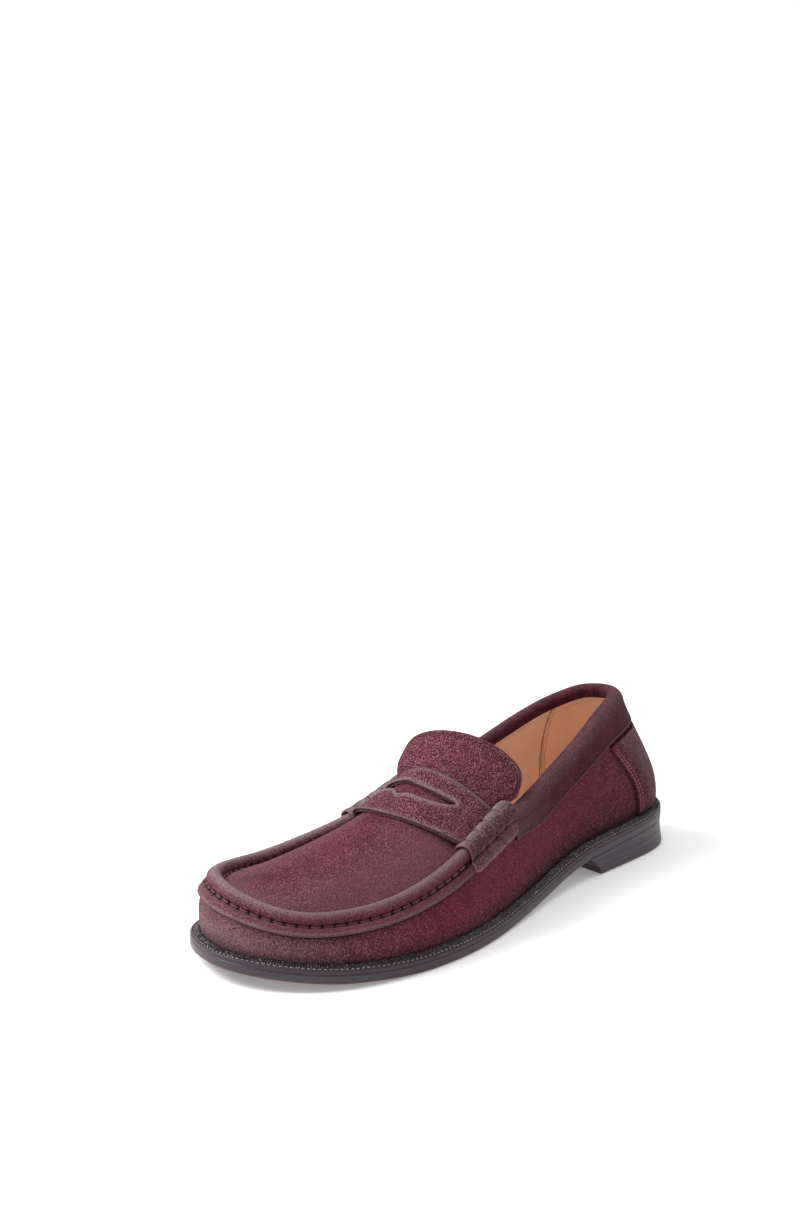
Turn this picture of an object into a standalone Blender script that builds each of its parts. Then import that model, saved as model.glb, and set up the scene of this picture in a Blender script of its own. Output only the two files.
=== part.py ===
# Penny loafer, left shoe: every hide piece, stiffener, bottom component, thread and nail as its own solid.
# Frame: metres, +Z up, +X to the toe, +Y to the outer (lateral) side, origin under the middle of the sole.
import math
import bpy
import bmesh
import numpy as np

# ------------------------------------------------------------------ driving dimensions (mm)
OUTSOLE_T = 4.0          # outsole thickness
WELT_T = 2.2             # welt thickness at its outer edge
WELT_RISE = 1.5          # how much the welt climbs towards the upper
OVERHANG = 5.0           # sole edge to foot of the upper
UPPER_T = 1.6            # upper leather
APRON_T = 1.6
STIFF_T = 1.1            # counter, puff, interlining
LINING_T = 1.0
COLLAR_T = 1.3
STRAP_T = 1.8
GAP = 0.3                # running gap between neighbouring pieces
RIDGE_R = 3.6            # rolled apron edge, outer radius
CORD_R = 1.5             # piping cord inside it
COLLAR_H = 14.5          # height of the collar band outside
COLLAR_IN = 2.8          # inner leg of the collar
FLANGE_W = 4.4           # flange of the apron below its stitching
TOP_PIECE_T = 4.0        # rubber top piece of the heel
LIFT_T = 3.0
BREAST_TOP_X = 85.0      # heel breast at the outsole
NAIL_R = 1.1
SLOT_HALF = 24.4         # half length of the coin slot
SLOT_MID = -4.6          # its middle, a little to the inner side

# sole outline, heel back -> outer side -> toe -> inner side
OUTLINE = [(-2.2, 0.2), (1.4, 17.8), (16.6, 29.9), (42.0, 34.6), (72.0, 35.4), (102.9, 36.6), (133.4, 42.1),
           (163.9, 48.9), (194.3, 53.7), (221.6, 53.3), (248.0, 47.4), (272.6, 35.4), (289.3, 17.3), (296.6, -2.7),
           (294.1, -20.4), (283.5, -39.4), (264.4, -51.8), (239.2, -55.9), (211.8, -55.0), (182.1, -48.4),
           (150.5, -38.8), (118.8, -33.2), (86.2, -33.2), (51.6, -34.6), (19.5, -29.6), (2.6, -17.4)]
# top edge of the upper wall: topline behind, apron seam in front
TOP = [(24.0, -0.5, 82.5), (29.5, 10.0, 82.5), (40.5, 16.5, 81.5), (56.5, 21.0, 78.0), (78.5, 25.0, 69.5),
       (104.0, 28.0, 59.5), (133.0, 33.0, 50.8), (163.0, 38.0, 43.0), (190.0, 41.5, 35.0), (213.0, 43.0, 29.5),
       (238.0, 40.5, 25.5), (262.0, 31.0, 24.0), (279.0, 17.0, 26.0), (288.0, -1.5, 31.0), (287.5, -16.0, 33.5),
       (279.0, -31.5, 33.5), (261.0, -41.5, 31.0), (237.0, -44.5, 29.0), (211.0, -42.0, 31.5), (184.0, -37.3, 37.2),
       (156.0, -33.8, 46.4), (127.0, -31.0, 54.2), (97.0, -30.0, 61.5), (62.5, -26.5, 72.2), (38.5, -19.0, 79.5),
       (28.0, -11.5, 82.0)]
# profile handles: lower handle out and up, upper handle out and down
H1OUT = [6, 5.5, 4, 2.2, 1, 0.6, 0.6, 1.1, 1.6, 1.9, 1.7, 1.6, 1.4, 1.3, 1.2, 1.3, 1.7, 2.1, 2.2, 2, 1.8, 1.8, 2.2, 3.3, 4.5, 5.5]
H1UP = [21, 21, 21, 20, 18, 16, 14, 12, 10, 9, 8, 7, 7, 7, 7, 7.5, 8, 9, 10, 12, 14, 16, 18, 20, 21, 21]
H2OUT = [9, 7, 4.5, 2, 0.5, 0.2, 1.2, 3.8, 6, 7, 6.8, 6.4, 6.4, 6.2, 6, 5.8, 6, 6.2, 6.2, 5.5, 5, 5, 5.5, 7, 8, 9]
H2DOWN = [22, 23, 23, 23, 21.5, 20, 17, 14, 9.5, 7, 5, 4.2, 4, 4.2, 4.8, 5.6, 6.2, 6.7, 8, 11, 14, 15, 17, 19, 20, 21.5]
# outsole underside height along the shoe
ZB_X = [-10, 0, 72, 85, 105, 130, 160, 190, 225, 260, 285, 300]
ZB_Z = [14.6, 14.2, 10.9, 9.9, 6.8, 3.2, 0.8, 0.0, 0.0, 1.8, 4.8, 7.2]
# crest line of the instep: length reached opposite each wall station, then side shift and height along it
CREST_I = [6.6, 7, 8, 9, 10, 11, 12, 13, 13.5, 14, 15, 16, 17, 18, 19, 20, 20.3]
CREST_X = [160, 170, 198, 219, 238, 252, 260, 263.6, 264.2, 263.6, 259, 250, 236, 217, 193, 167, 160]
CREST_SX = [150, 160, 170, 180, 193, 205, 219, 238, 252, 265]
CREST_SY = [-6.5, -7.0, -8.0, -9.0, -10.0, -10.2, -10.0, -9.4, -9.0, -8.6]
CREST_SZ = [71.5, 66.8, 61.6, 56.0, 49.4, 45.0, 41.4, 37.6, 36.0, 35.2]
# roundness of the instep section at each wall station
ROUND_I = [6, 7, 9, 11, 13, 15, 17, 19, 21]
ROUND_K = [0.35, 0.35, 0.55, 0.9, 1.1, 1.1, 1.2, 1.42, 1.5]

# ------------------------------------------------------------------ small numeric tools
def fritsch(xs, ys):
    xs, ys = np.array(xs, float), np.array(ys, float)
    h = np.diff(xs); d = np.diff(ys) / h
    m = np.zeros(len(xs)); m[0], m[-1] = d[0], d[-1]
    for i in range(1, len(xs) - 1):
        if d[i - 1] * d[i] > 0:
            w1, w2 = 2 * h[i] + h[i - 1], h[i] + 2 * h[i - 1]
            m[i] = (w1 + w2) / (w1 / d[i - 1] + w2 / d[i])
    def f(x):
        x = np.clip(np.asarray(x, float), xs[0], xs[-1])
        i = np.clip(np.searchsorted(xs, x) - 1, 0, len(h) - 1)
        t = (x - xs[i]) / h[i]
        return ((2 * t**3 - 3 * t**2 + 1) * ys[i] + (t**3 - 2 * t**2 + t) * h[i] * m[i]
                + (-2 * t**3 + 3 * t**2) * ys[i + 1] + (t**3 - t**2) * h[i] * m[i + 1])
    return f


def periodic(knots, vals):
    """Periodic cubic spline through vals (n, dim) at knots, closing at knots[-1]."""
    k = np.array(knots, float); v = np.array(vals, float)
    if v.ndim == 1:
        v = v[:, None]
    n = len(v); h = np.diff(k)
    A = np.zeros((n, n)); B = np.zeros_like(v)
    for i in range(n):
        p, q = (i - 1) % n, (i + 1) % n
        A[i, p] += h[p]; A[i, i] += 2 * (h[p] + h[i]); A[i, q] += h[i]
        B[i] = 6 * ((v[q] - v[i]) / h[i] - (v[i] - v[p]) / h[p])
    M = np.linalg.solve(A, B)
    per = k[-1] - k[0]
    def f(s):
        s = np.mod(np.asarray(s, float) - k[0], per) + k[0]
        i = np.clip(np.searchsorted(k, s, side="right") - 1, 0, n - 1)
        j = (i + 1) % n
        a = ((k[i + 1] - s) / h[i])[..., None]; b = 1 - a
        hh = (h[i] ** 2)[..., None]
        return a * v[i] + b * v[j] + ((a**3 - a) * M[i] + (b**3 - b) * M[j]) * hh / 6
    return f


def natural(knots, vals):
    """Natural cubic spline through vals (n, dim)."""
    k = np.array(knots, float); v = np.array(vals, float)
    if v.ndim == 1:
        v = v[:, None]
    n = len(v); h = np.diff(k)
    A = np.eye(n); B = np.zeros_like(v)
    for i in range(1, n - 1):
        A[i, i - 1], A[i, i], A[i, i + 1] = h[i - 1], 2 * (h[i - 1] + h[i]), h[i]
        B[i] = 6 * ((v[i + 1] - v[i]) / h[i] - (v[i] - v[i - 1]) / h[i - 1])
    M = np.linalg.solve(A, B)
    def f(s):
        s = np.clip(np.asarray(s, float), k[0], k[-1])
        i = np.clip(np.searchsorted(k, s, side="right") - 1, 0, n - 2)
        a = ((k[i + 1] - s) / h[i])[..., None]; b = 1 - a
        hh = (h[i] ** 2)[..., None]
        return a * v[i] + b * v[i + 1] + ((a**3 - a) * M[i] + (b**3 - b) * M[i + 1]) * hh / 6
    return f


# ------------------------------------------------------------------ the last: outline, wall and instep surfaces
NST = len(OUTLINE)
_o = np.array(OUTLINE + OUTLINE[:1], float)
KN = np.r_[0, np.cumsum(np.linalg.norm(np.diff(_o, axis=0), axis=1))]
PER = KN[-1]
f_out = periodic(KN, OUTLINE)
f_top = periodic(KN, TOP)
f_h = periodic(KN, np.c_[H1OUT, H1UP, H2OUT, H2DOWN])
f_zb = fritsch(ZB_X, ZB_Z)
f_cx = fritsch(CREST_I[:9], CREST_X[:9]); f_cx2 = fritsch(CREST_I[8:], CREST_X[8:])
f_cy = natural(CREST_SX, CREST_SY); f_cz = natural(CREST_SX, CREST_SZ)
f_round = fritsch(ROUND_I, ROUND_K)


def crest(i):
    """Point on the crest line opposite wall station i."""
    i = np.asarray(i, float)
    x = np.where(i <= 13.5, f_cx(i), f_cx2(i))
    return np.concatenate([x[..., None], f_cy(x), f_cz(x)], -1)


def across(i):
    """Inner-side station facing the same crest point as the outer-side station i."""
    j = np.linspace(13.5, 20.3, 2001)
    return float(np.interp(-f_cx(i), -f_cx2(j), j))


def st(i):
    """Perimeter length of a (fractional) station number."""
    i = np.asarray(i, float)
    return np.interp(np.mod(i, NST), np.arange(NST + 1), KN) + np.floor(i / NST) * PER


def to_i(s):
    return np.interp(np.mod(s, PER), KN, np.arange(NST + 1))


def unit(v):
    return v / np.maximum(np.linalg.norm(v, axis=-1, keepdims=True), 1e-9)


def out_normal(f, s, e=0.5):
    d = f(s + e)[..., :2] - f(s - e)[..., :2]
    n = np.stack([-d[..., 1], d[..., 0]], -1)
    return unit(n)


def sole(s, inset=0.0):
    return f_out(s) - out_normal(f_out, s) * np.asarray(inset)[..., None]


def handles(s):
    s = np.asarray(s, float)
    n = out_normal(f_out, s)
    n3 = np.concatenate([n, np.zeros(n.shape[:-1] + (1,))], -1)
    up = np.zeros_like(n3); up[..., 2] = 1
    foot = f_out(s) - n * (OVERHANG + 0.1)
    p0 = np.concatenate([foot, (f_zb(foot[..., 0]) + OUTSOLE_T + 1.3)[..., None]], -1)
    p3 = f_top(s)
    h = f_h(s)
    p1 = p0 + n3 * h[..., 0:1] + up * h[..., 1:2]
    p2 = p3 + n3 * h[..., 2:3] - up * h[..., 3:4]
    return p0, p1, p2, p3


def wall(s, t):
    """Outer face of the upper wall: t = 0 at the welt, 1 at the top edge."""
    p0, p1, p2, p3 = handles(s)
    t = np.asarray(t, float)[..., None]
    return (1 - t)**3 * p0 + 3 * (1 - t)**2 * t * p1 + 3 * (1 - t) * t**2 * p2 + t**3 * p3


def wall_n(s, t, off=0.0):
    """Wall face moved along its own normal."""
    e = 0.4; et = 0.01
    ds = wall(s + e, t) - wall(s - e, t)
    dt = wall(s, np.minimum(np.asarray(t) + et, 1.0)) - wall(s, np.maximum(np.asarray(t) - et, 0.0))
    n = unit(np.cross(dt, ds))
    o = out_normal(f_out, s)
    sign = np.sign((n[..., :2] * o).sum(-1, keepdims=True)); sign[sign == 0] = 1
    return wall(s, t) + n * sign * np.asarray(off)[..., None]


def arch(s, v, off=0.0, foot=(-6.4, 1.4)):
    """Instep face: v = 1 at foot (beside and above the seam), 0 on the crest line."""
    def base(s, v):
        b = ridge_pt(s, *foot)
        c = crest(to_i(s)); k = f_round(to_i(s))
        gh = np.sin(k * v) / np.sin(k); gv = (1 - np.cos(k * v)) / (1 - np.cos(k))
        return np.concatenate([c[..., :2] + (b - c)[..., :2] * gh[..., None], (c[..., 2] + (b - c)[..., 2] * gv)[..., None]], -1)
    v = np.asarray(v, float) + 0 * np.asarray(s); s = np.asarray(s, float) + 0 * v
    p = base(s, v)
    if np.all(np.asarray(off) == 0):
        return p
    e = 0.5
    ds = base(s + e, v) - base(s - e, v)
    dv = base(s, v + 0.01) - base(s, v - 0.01)
    n = unit(np.cross(ds, dv)); n *= np.where(n[..., 2:3] < 0, -1, 1)
    return p + n * np.asarray(off)[..., None]


def ridge_pt(s, n_off, z_off):
    """A point beside the top edge: n_off outward, z_off up."""
    p = f_top(s); n = out_normal(f_top, s)
    q = p.copy()
    q[..., :2] += n * np.asarray(n_off)[..., None] if np.ndim(n_off) else n * n_off
    q[..., 2] += z_off
    return q


# middle of the box, so that the origin is under it
_all = f_out(np.linspace(0, PER, 4001))
CX = (_all[:, 0].min() + _all[:, 0].max()) / 2
CY = (_all[:, 1].min() + _all[:, 1].max()) / 2

# ------------------------------------------------------------------ Blender helpers
for o in list(bpy.data.objects):
    bpy.data.objects.remove(o, do_unlink=True)


def material(name, rgb, rough, metal=0.0):
    m = bpy.data.materials.new(name)
    m.use_nodes = True
    b = m.node_tree.nodes["Principled BSDF"]
    b.inputs["Base Color"].default_value = (*rgb, 1)
    b.inputs["Roughness"].default_value = rough
    b.inputs["Metallic"].default_value = metal
    m.diffuse_color = (*rgb, 1)
    return m


SUEDE = material("brushed_suede", (0.115, 0.022, 0.035), 0.85)
SUEDE_DARK = material("waxed_suede", (0.06, 0.03, 0.035), 0.6)
TAN = material("tan_lining", (0.52, 0.25, 0.12), 0.55)
SOCK = material("sock_leather", (0.72, 0.48, 0.38), 0.5)
SOLE = material("sole_leather", (0.065, 0.045, 0.055), 0.35)
WELT = material("welt_leather", (0.02, 0.015, 0.02), 0.4)
RUBBER = material("heel_rubber", (0.03, 0.025, 0.03), 0.7)
BOARD = material("fibre_board", (0.45, 0.33, 0.2), 0.9)
CORK = material("cork", (0.5, 0.33, 0.18), 0.95)
STEEL = material("shank_steel", (0.6, 0.6, 0.62), 0.3, 1.0)
BRASS = material("nail_brass", (0.7, 0.5, 0.2), 0.3, 1.0)
THREAD = material("thread", (0.1, 0.03, 0.04), 0.7)


def m_(p):
    """mm in the shoe's own numbers -> metres in the frame."""
    p = np.asarray(p, float)
    return np.stack([(p[..., 0] - CX), (p[..., 1] - CY), p[..., 2]], -1) * 0.001


def obj(name, bm, mat, smooth=30):
    bmesh.ops.recalc_face_normals(bm, faces=bm.faces[:])
    me = bpy.data.meshes.new(name)
    bm.to_mesh(me); bm.free()
    me.materials.append(mat)
    o = bpy.data.objects.new(name, me)
    bpy.context.scene.collection.objects.link(o)
    me.shade_smooth()
    me.set_sharp_from_angle(angle=math.radians(smooth))
    return o


def grid_bm(P, close_u=False, flip=False):
    """Quads over P[u][v] (mm)."""
    P = m_(P)
    bm = bmesh.new()
    nu, nv = P.shape[:2]
    V = [[bm.verts.new(P[i, j]) for j in range(nv)] for i in range(nu)]
    for i in range(nu if close_u else nu - 1):
        for j in range(nv - 1):
            a, b, c, d = V[i][j], V[(i + 1) % nu][j], V[(i + 1) % nu][j + 1], V[i][j + 1]
            bm.faces.new((a, d, c, b) if flip else (a, b, c, d))
    return bm, V


def shell(name, outer, inner, mat, close_u=False, weld0=False):
    """Closed solid between two grids of the same size (mm). weld0: the two sides meet along column 0."""
    Po, Pi = m_(outer), m_(inner)
    bm = bmesh.new()
    nu, nv = Po.shape[:2]
    A = [[bm.verts.new(Po[i, j]) for j in range(nv)] for i in range(nu)]
    B = [[bm.verts.new(Pi[i, j]) for j in range(nv)] for i in range(nu)]
    U = range(nu if close_u else nu - 1)
    for i in U:
        k = (i + 1) % nu
        for j in range(nv - 1):
            bm.faces.new((A[i][j], A[k][j], A[k][j + 1], A[i][j + 1]))
            bm.faces.new((B[i][j], B[i][j + 1], B[k][j + 1], B[k][j]))
        if not weld0:
            bm.faces.new((A[i][0], B[i][0], B[k][0], A[k][0]))
        bm.faces.new((A[i][-1], A[k][-1], B[k][-1], B[i][-1]))
    if not close_u:
        for j in range(nv - 1):
            bm.faces.new((A[0][j], A[0][j + 1], B[0][j + 1], B[0][j]))
            bm.faces.new((A[-1][j], B[-1][j], B[-1][j + 1], A[-1][j + 1]))
    if weld0:
        half = nu // 2
        for L in (A, B):
            bmesh.ops.weld_verts(bm, targetmap={L[nu - 1 - i][0]: L[i][0] for i in range(half)})
    return obj(name, bm, mat)


def sweep(name, rings, mat, closed=False):
    """Rings of points (mm), bridged in order; end rings become caps."""
    R = m_(rings)
    bm = bmesh.new()
    V = [[bm.verts.new(p) for p in r] for r in R]
    n, k = len(V), len(V[0])
    for i in range(n if closed else n - 1):
        a, b = V[i], V[(i + 1) % n]
        for j in range(k):
            bm.faces.new((a[j], a[(j + 1) % k], b[(j + 1) % k], b[j]))
    if not closed:
        bm.faces.new(V[0][::-1]); bm.faces.new(V[-1])
    return obj(name, bm, mat)


_dense_s = np.linspace(0, PER, 2401)[:-1]


def sides_at(x, inset):
    """Outer and inner half widths of the inset outline at each x (mm)."""
    p = sole(_dense_s, np.full(len(_dense_s), float(inset)))
    k0, k1 = np.argmin(p[:, 0]), np.argmax(p[:, 0])
    lat = p[k0:k1 + 1]; med = np.vstack([p[k1:], p[:k0 + 1]])[::-1]
    return np.interp(x, lat[:, 0], lat[:, 1]), np.interp(x, med[:, 0], med[:, 1]), p[k0, 0], p[k1, 0]


def plate(name, inset, z_low, z_high, mat, x0=None, x1=None, n=22, low_shift=0.0, front_curve=0.0, across_n=2):
    """Plate cut to the inset outline. z_low/z_high are functions of x. x0/x1 crop it square; front_curve hollows the cut."""
    _, _, a, b = sides_at(0.0, inset)
    a = a if x0 is None else max(a, x0); b = b if x1 is None else min(b, x1)
    lin = np.linspace(0, 1, n)
    if x0 is None and x1 is None:
        w = 0.5 - 0.5 * np.cos(math.pi * lin)
    elif x0 is None:
        w = 1 - np.cos(lin * math.pi / 2)
    elif x1 is None:
        w = np.sin(lin * math.pi / 2)
    else:
        w = lin
    xs = a + (b - a) * w
    lat, med, _, _ = sides_at(xs, inset)
    bm = bmesh.new()
    def make(zf, shift):
        rows = []
        for i, x in enumerate(xs):
            tip = (i == 0 and x0 is None) or (i == n - 1 and x1 is None)
            f = (x - a) / (b - a)
            row = []
            for k in ([across_n / 2] if tip else range(across_n + 1)):
                u = k / across_n
                xx = x - front_curve * f**6 * 4 * u * (1 - u)
                xx = a + (xx - a) * (1 - shift / (b - a))
                row.append(bm.verts.new(m_(np.array([xx, lat[i] + (med[i] - lat[i]) * u, float(zf(x))]))))
            rows.append(row)
        return rows
    T, B = make(z_high, 0.0), make(z_low, low_shift)
    for L, up in ((T, True), (B, False)):
        for r, q in zip(L[:-1], L[1:]):
            if len(r) == 1:
                fs = [(r[0], q[k + 1], q[k]) for k in range(len(q) - 1)]
            elif len(q) == 1:
                fs = [(r[k], r[k + 1], q[0]) for k in range(len(r) - 1)]
            else:
                fs = [(r[k], r[k + 1], q[k + 1], q[k]) for k in range(len(r) - 1)]
            for f in fs:
                bm.faces.new(f if up else f[::-1])
    def rim(L):
        o = [r[0] for r in L]
        o += L[-1][1:]
        o += [r[-1] for r in L[:-1][::-1] if len(r) > 1]
        if len(L[0]) > 1:
            o += L[0][1:-1][::-1]
        return o
    loopT, loopB = rim(T), rim(B)
    for i in range(len(loopT)):
        j = (i + 1) % len(loopT)
        bm.faces.new((loopT[i], loopT[j], loopB[j], loopB[i]))
    return obj(name, bm, mat)


def thread(name, pts, r, mat=THREAD, sides=0):
    c = bpy.data.curves.new(name, "CURVE")
    c.dimensions = "3D"
    c.bevel_depth = r * 0.001
    c.bevel_resolution = sides
    c.use_fill_caps = True
    sp = c.splines.new("POLY")
    P = m_(pts)
    sp.points.add(len(P) - 1)
    for q, p in zip(sp.points, P):
        q.co = (*p, 1)
    o = bpy.data.objects.new(name, c)
    c.materials.append(mat)
    bpy.context.scene.collection.objects.link(o)
    return o


def cut(target, cutter, name):
    md = target.modifiers.new(name, "BOOLEAN")
    md.operation = "DIFFERENCE"
    md.object = cutter
    cutter.hide_render = True
    cutter.display_type = "WIRE"
    return md


# ------------------------------------------------------------------ bottom
zb = lambda x: f_zb(x)
plate("outsole", 0.0, zb, lambda x: f_zb(x) + OUTSOLE_T, SOLE, n=30)
top_piece = plate("heel_top_piece", 0.6, lambda x: 0.0, lambda x: TOP_PIECE_T, RUBBER, x1=BREAST_TOP_X - 6.4, n=12, low_shift=2.6, front_curve=2.5, across_n=6)
lift = plate("heel_lift", 0.6, lambda x: TOP_PIECE_T + GAP, lambda x: TOP_PIECE_T + GAP + LIFT_T, SOLE, x1=BREAST_TOP_X - 3.4, n=12, low_shift=2.7, front_curve=2.5, across_n=6)
zw = TOP_PIECE_T + GAP + LIFT_T + GAP
wedge = plate("heel_wedge", 0.6, lambda x: zw, lambda x: f_zb(x) - GAP, SOLE, x1=BREAST_TOP_X, n=12, low_shift=3.1, front_curve=2.5, across_n=6)

# heel nails, up through the top piece and the lifts
NAILS = [(14.0, 0.0), (30.0, 19.0), (30.0, -19.0), (60.0, 19.0), (60.0, -19.0)]
for k, (x, y) in enumerate(NAILS):
    zt = float(f_zb(x)) - 0.9
    bpy.ops.mesh.primitive_cylinder_add(vertices=8, radius=NAIL_R * 1e-3, depth=(zt - 0.6) * 1e-3, location=m_(np.array([x, y, (zt + 0.6) / 2])))
    o = bpy.context.object; o.name = f"heel_nail_{k + 1}"; o.data.name = o.name
    o.data.materials.append(BRASS); o.data.shade_smooth(); o.data.set_sharp_from_angle(angle=math.radians(50))
bm = bmesh.new()
for x, y in NAILS:
    r = bmesh.ops.create_cone(bm, cap_ends=True, segments=8, radius1=(NAIL_R + GAP) * 1e-3, radius2=(NAIL_R + GAP) * 1e-3, depth=0.06)
    zt = float(f_zb(x)) - 0.6
    bmesh.ops.translate(bm, verts=r["verts"], vec=tuple(m_(np.array([x, y, zt])) - np.array([0, 0, 0.03])))
nail_cut = obj("nail_cutter", bm, BRASS)
for o in (top_piece, lift, wedge):
    cut(o, nail_cut, "nail_holes")

# welt: a leather strip all round, climbing towards the upper
S = np.linspace(0, PER, 61)[:-1]
ring = [(0.0, OUTSOLE_T + GAP), (0.15, OUTSOLE_T + WELT_T - 0.3), (0.9, OUTSOLE_T + WELT_T + 0.2), (3.9, OUTSOLE_T + WELT_T + WELT_RISE), (4.7, OUTSOLE_T + GAP)]
rings = []
for s in S:
    r = []
    for d, z in ring:
        p = sole(s, d); edge = sole(s, 0.0)
        r.append((p[0], p[1], float(f_zb(p[0])) + z))
    rings.append(r)
sweep("welt", rings, WELT, closed=True)
# outseam thread, laid in the welt's top
pts = []
for s in np.linspace(0, PER, 57)[:-1]:
    p = sole(s, 2.0); pts.append((p[0], p[1], float(f_zb(p[0])) + OUTSOLE_T + WELT_T + 0.7 + 0.35 + 0.35))
pts = pts[:-1]
thread("outseam_thread", pts, 0.35)

plate("cork_filler", 16.5, lambda x: f_zb(x) + OUTSOLE_T + GAP, lambda x: f_zb(x) + OUTSOLE_T + GAP + 1.7, CORK, x0=156.0, n=12)
plate("heel_seat_filler", 16.5, lambda x: f_zb(x) + OUTSOLE_T + GAP, lambda x: f_zb(x) + OUTSOLE_T + GAP + 1.7, BOARD, x1=48.0, n=9)
bm = bmesh.new()
xs = np.linspace(52, 151, 12)
low = [[bm.verts.new(m_(np.array([x, y, float(f_zb(x)) + OUTSOLE_T + GAP]))) for y in (9.0 - 4 * abs(x - 100) / 50 + 1.0, -9.0 + 4 * abs(x - 100) / 50 + 1.0)] for x in xs]
for i in range(len(xs) - 1):
    bm.faces.new((low[i][0], low[i][1], low[i + 1][1], low[i + 1][0]))
g = bmesh.ops.extrude_face_region(bm, geom=bm.faces[:])
bmesh.ops.translate(bm, verts=[e for e in g["geom"] if isinstance(e, bmesh.types.BMVert)], vec=(0, 0, 0.0012))
obj("shank", bm, STEEL)
IN0 = OUTSOLE_T + GAP + UPPER_T + 2 * GAP
plate("insole", 10.6, lambda x: f_zb(x) + IN0, lambda x: f_zb(x) + IN0 + 2.4, BOARD, n=22)
plate("sock_lining", 11.0, lambda x: f_zb(x) + IN0 + 2.4 + GAP, lambda x: f_zb(x) + IN0 + 3.4 + GAP, SOCK, n=22)

# ------------------------------------------------------------------ columns shared by every layer of the upper
def steps(a, b, n):
    return [a + (b - a) * k / n for k in range(n)]
AP_REAR = 6.98                                   # station where the apron's rear edge meets the seam
_lat = steps(AP_REAR, 7.5, 1) + steps(7.5, 10.5, 6) + steps(10.5, 13.5, 7)
_med = [across(i) for i in _lat[::-1]]
COLS = (steps(0, 3, 9) + steps(3, AP_REAR, 7) + _lat + [13.5] + _med + steps(_med[-1], 23, 6)[1:] + steps(23, 26, 9))
AP_COLS = [i for i in COLS if AP_REAR - 1e-6 <= i <= _med[-1] + 1e-6]
COL_TOE_L, COL_TOE_M = _lat[7], _med[6]          # where the toe puff ends on each side
COL_V_L, COL_V_M = _lat[1], _med[-2]             # where the vamp lining ends on each side
HEEL_L, HEEL_M = COLS[9], 23.0


def between(a, b):
    """Columns from a to b going forward round the shoe (b may be past the heel)."""
    c = [i for i in COLS if i >= a - 1e-6] + [i + NST for i in COLS if i + NST > a]
    return st(np.array([i for i in c if i <= b + 1e-6]))


# ------------------------------------------------------------------ upper wall with its lasting margin
S = st(np.array(COLS))
TT = np.array([0.0, 0.14, 0.32, 0.52, 0.72, 0.88, 1.0])
def wall_grid(S, TT, off):
    s, t = np.meshgrid(S, TT, indexing="ij")
    return wall_n(s, t, np.full(s.shape, float(off)))
def margin(S, inset, z):
    p = sole(S, np.full(len(S), float(inset)))
    return np.c_[p, f_zb(p[:, 0]) + z]
outer = wall_grid(S, TT, 0.0)
inner = wall_grid(S, TT, -UPPER_T)
zm = OUTSOLE_T + GAP
outer = np.concatenate([margin(S, 15.5, zm)[:, None], margin(S, 6.0, zm)[:, None], outer], 1)
inner = np.concatenate([margin(S, 15.5, zm + UPPER_T)[:, None], margin(S, 7.2, zm + UPPER_T)[:, None], inner], 1)
shell("vamp_wall", outer, inner, SUEDE, close_u=True)

# stations of the roll keepers
ROLL_F_L, ROLL_R_L = 7.90, 6.60      # outer roll, front and rear
ROLL_F_M, ROLL_R_M = 18.88, 20.20    # inner roll, front and rear

# ------------------------------------------------------------------ apron with its rolled edge and flange
def flange_t(s):
    p0, p1, p2, p3 = handles(s)
    L = np.linalg.norm(p3 - p2) + 1e-6
    return 1 - min(0.3, FLANGE_W / (3 * L))


def apron_profile(s, off):
    """Points from the crest out over the roll to the flange's cut edge; off > 0 is outside."""
    out = []
    for v in (0.0, 0.3, 0.58, 0.82):
        out.append(arch(s, v, off))
    c = ridge_pt(s, -2.9, 2.6)
    n = out_normal(f_top, s)
    r = RIDGE_R + off
    for a in (192, 140, 92, 45, 0):
        q = c.copy(); q[:2] += n * r * math.cos(math.radians(a)); q[2] += r * math.sin(math.radians(a))
        out.append(q)
    out.append(wall_n(s, 0.985, GAP + 0.2 + APRON_T + off)[()])
    out.append(wall_n(s, flange_t(s), GAP + 0.2 + APRON_T + off)[()])
    return out


def even(G):
    """Give both halves the same points on the crest."""
    G = np.array(G); n = len(G)
    for i in range(n // 2):
        G[n - 1 - i, 0] = G[i, 0]
    return G


SA = st(np.array(AP_COLS))
shell("apron", even([apron_profile(s, 0.0) for s in SA]), even([apron_profile(s, -APRON_T) for s in SA]), SUEDE, weld0=True)
c = ridge_pt(SA[1:-1], -2.9, 2.6)
thread("piping_cord", c, CORD_R, BOARD, sides=1)

# ------------------------------------------------------------------ strap with the coin slot
STRAP_FOOT = (-8.2, 7.0)                                       # the strap bridges to the top of the rolls
VS = [1.0, 0.84, 0.68, 0.51, 0.34, 0.17, 0.0, -0.17, -0.34, -0.51, -0.68, -0.84, -1.0]
STRAP_X = {"mid": (193.5, 163.8), "outer": (187.0, 158.5), "inner": (188.0, 163.8)}   # front and rear edge
_fine_l, _fine_m = np.linspace(6.5, 8.4, 96), np.linspace(18.4, 20.6, 96)
def strap_pt(a, v, off):
    """Point of the strap: a = 0 front edge .. 1 rear edge, v = 1 outer end .. -1 inner end."""
    w = abs(v)
    m = STRAP_X["mid"]; e = STRAP_X["outer"] if v >= 0 else STRAP_X["inner"]
    x = (m[0] + (m[1] - m[0]) * a) * (1 - w) + (e[0] + (e[1] - e[0]) * a) * w
    f = _fine_l if v >= 0 else _fine_m
    xs = arch(st(f), np.full(len(f), w), 0.0, STRAP_FOOT)[:, 0]
    i = np.interp(x, xs, f) if v >= 0 else np.interp(-x, -xs, f)
    return arch(st(i), w, off, STRAP_FOOT)
AS = np.linspace(0, 1, 6)
strap = shell("strap", np.array([[strap_pt(a, v, GAP + STRAP_T) for v in VS] for a in AS]),
              np.array([[strap_pt(a, v, GAP) for v in VS] for a in AS]), SUEDE)
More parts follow.
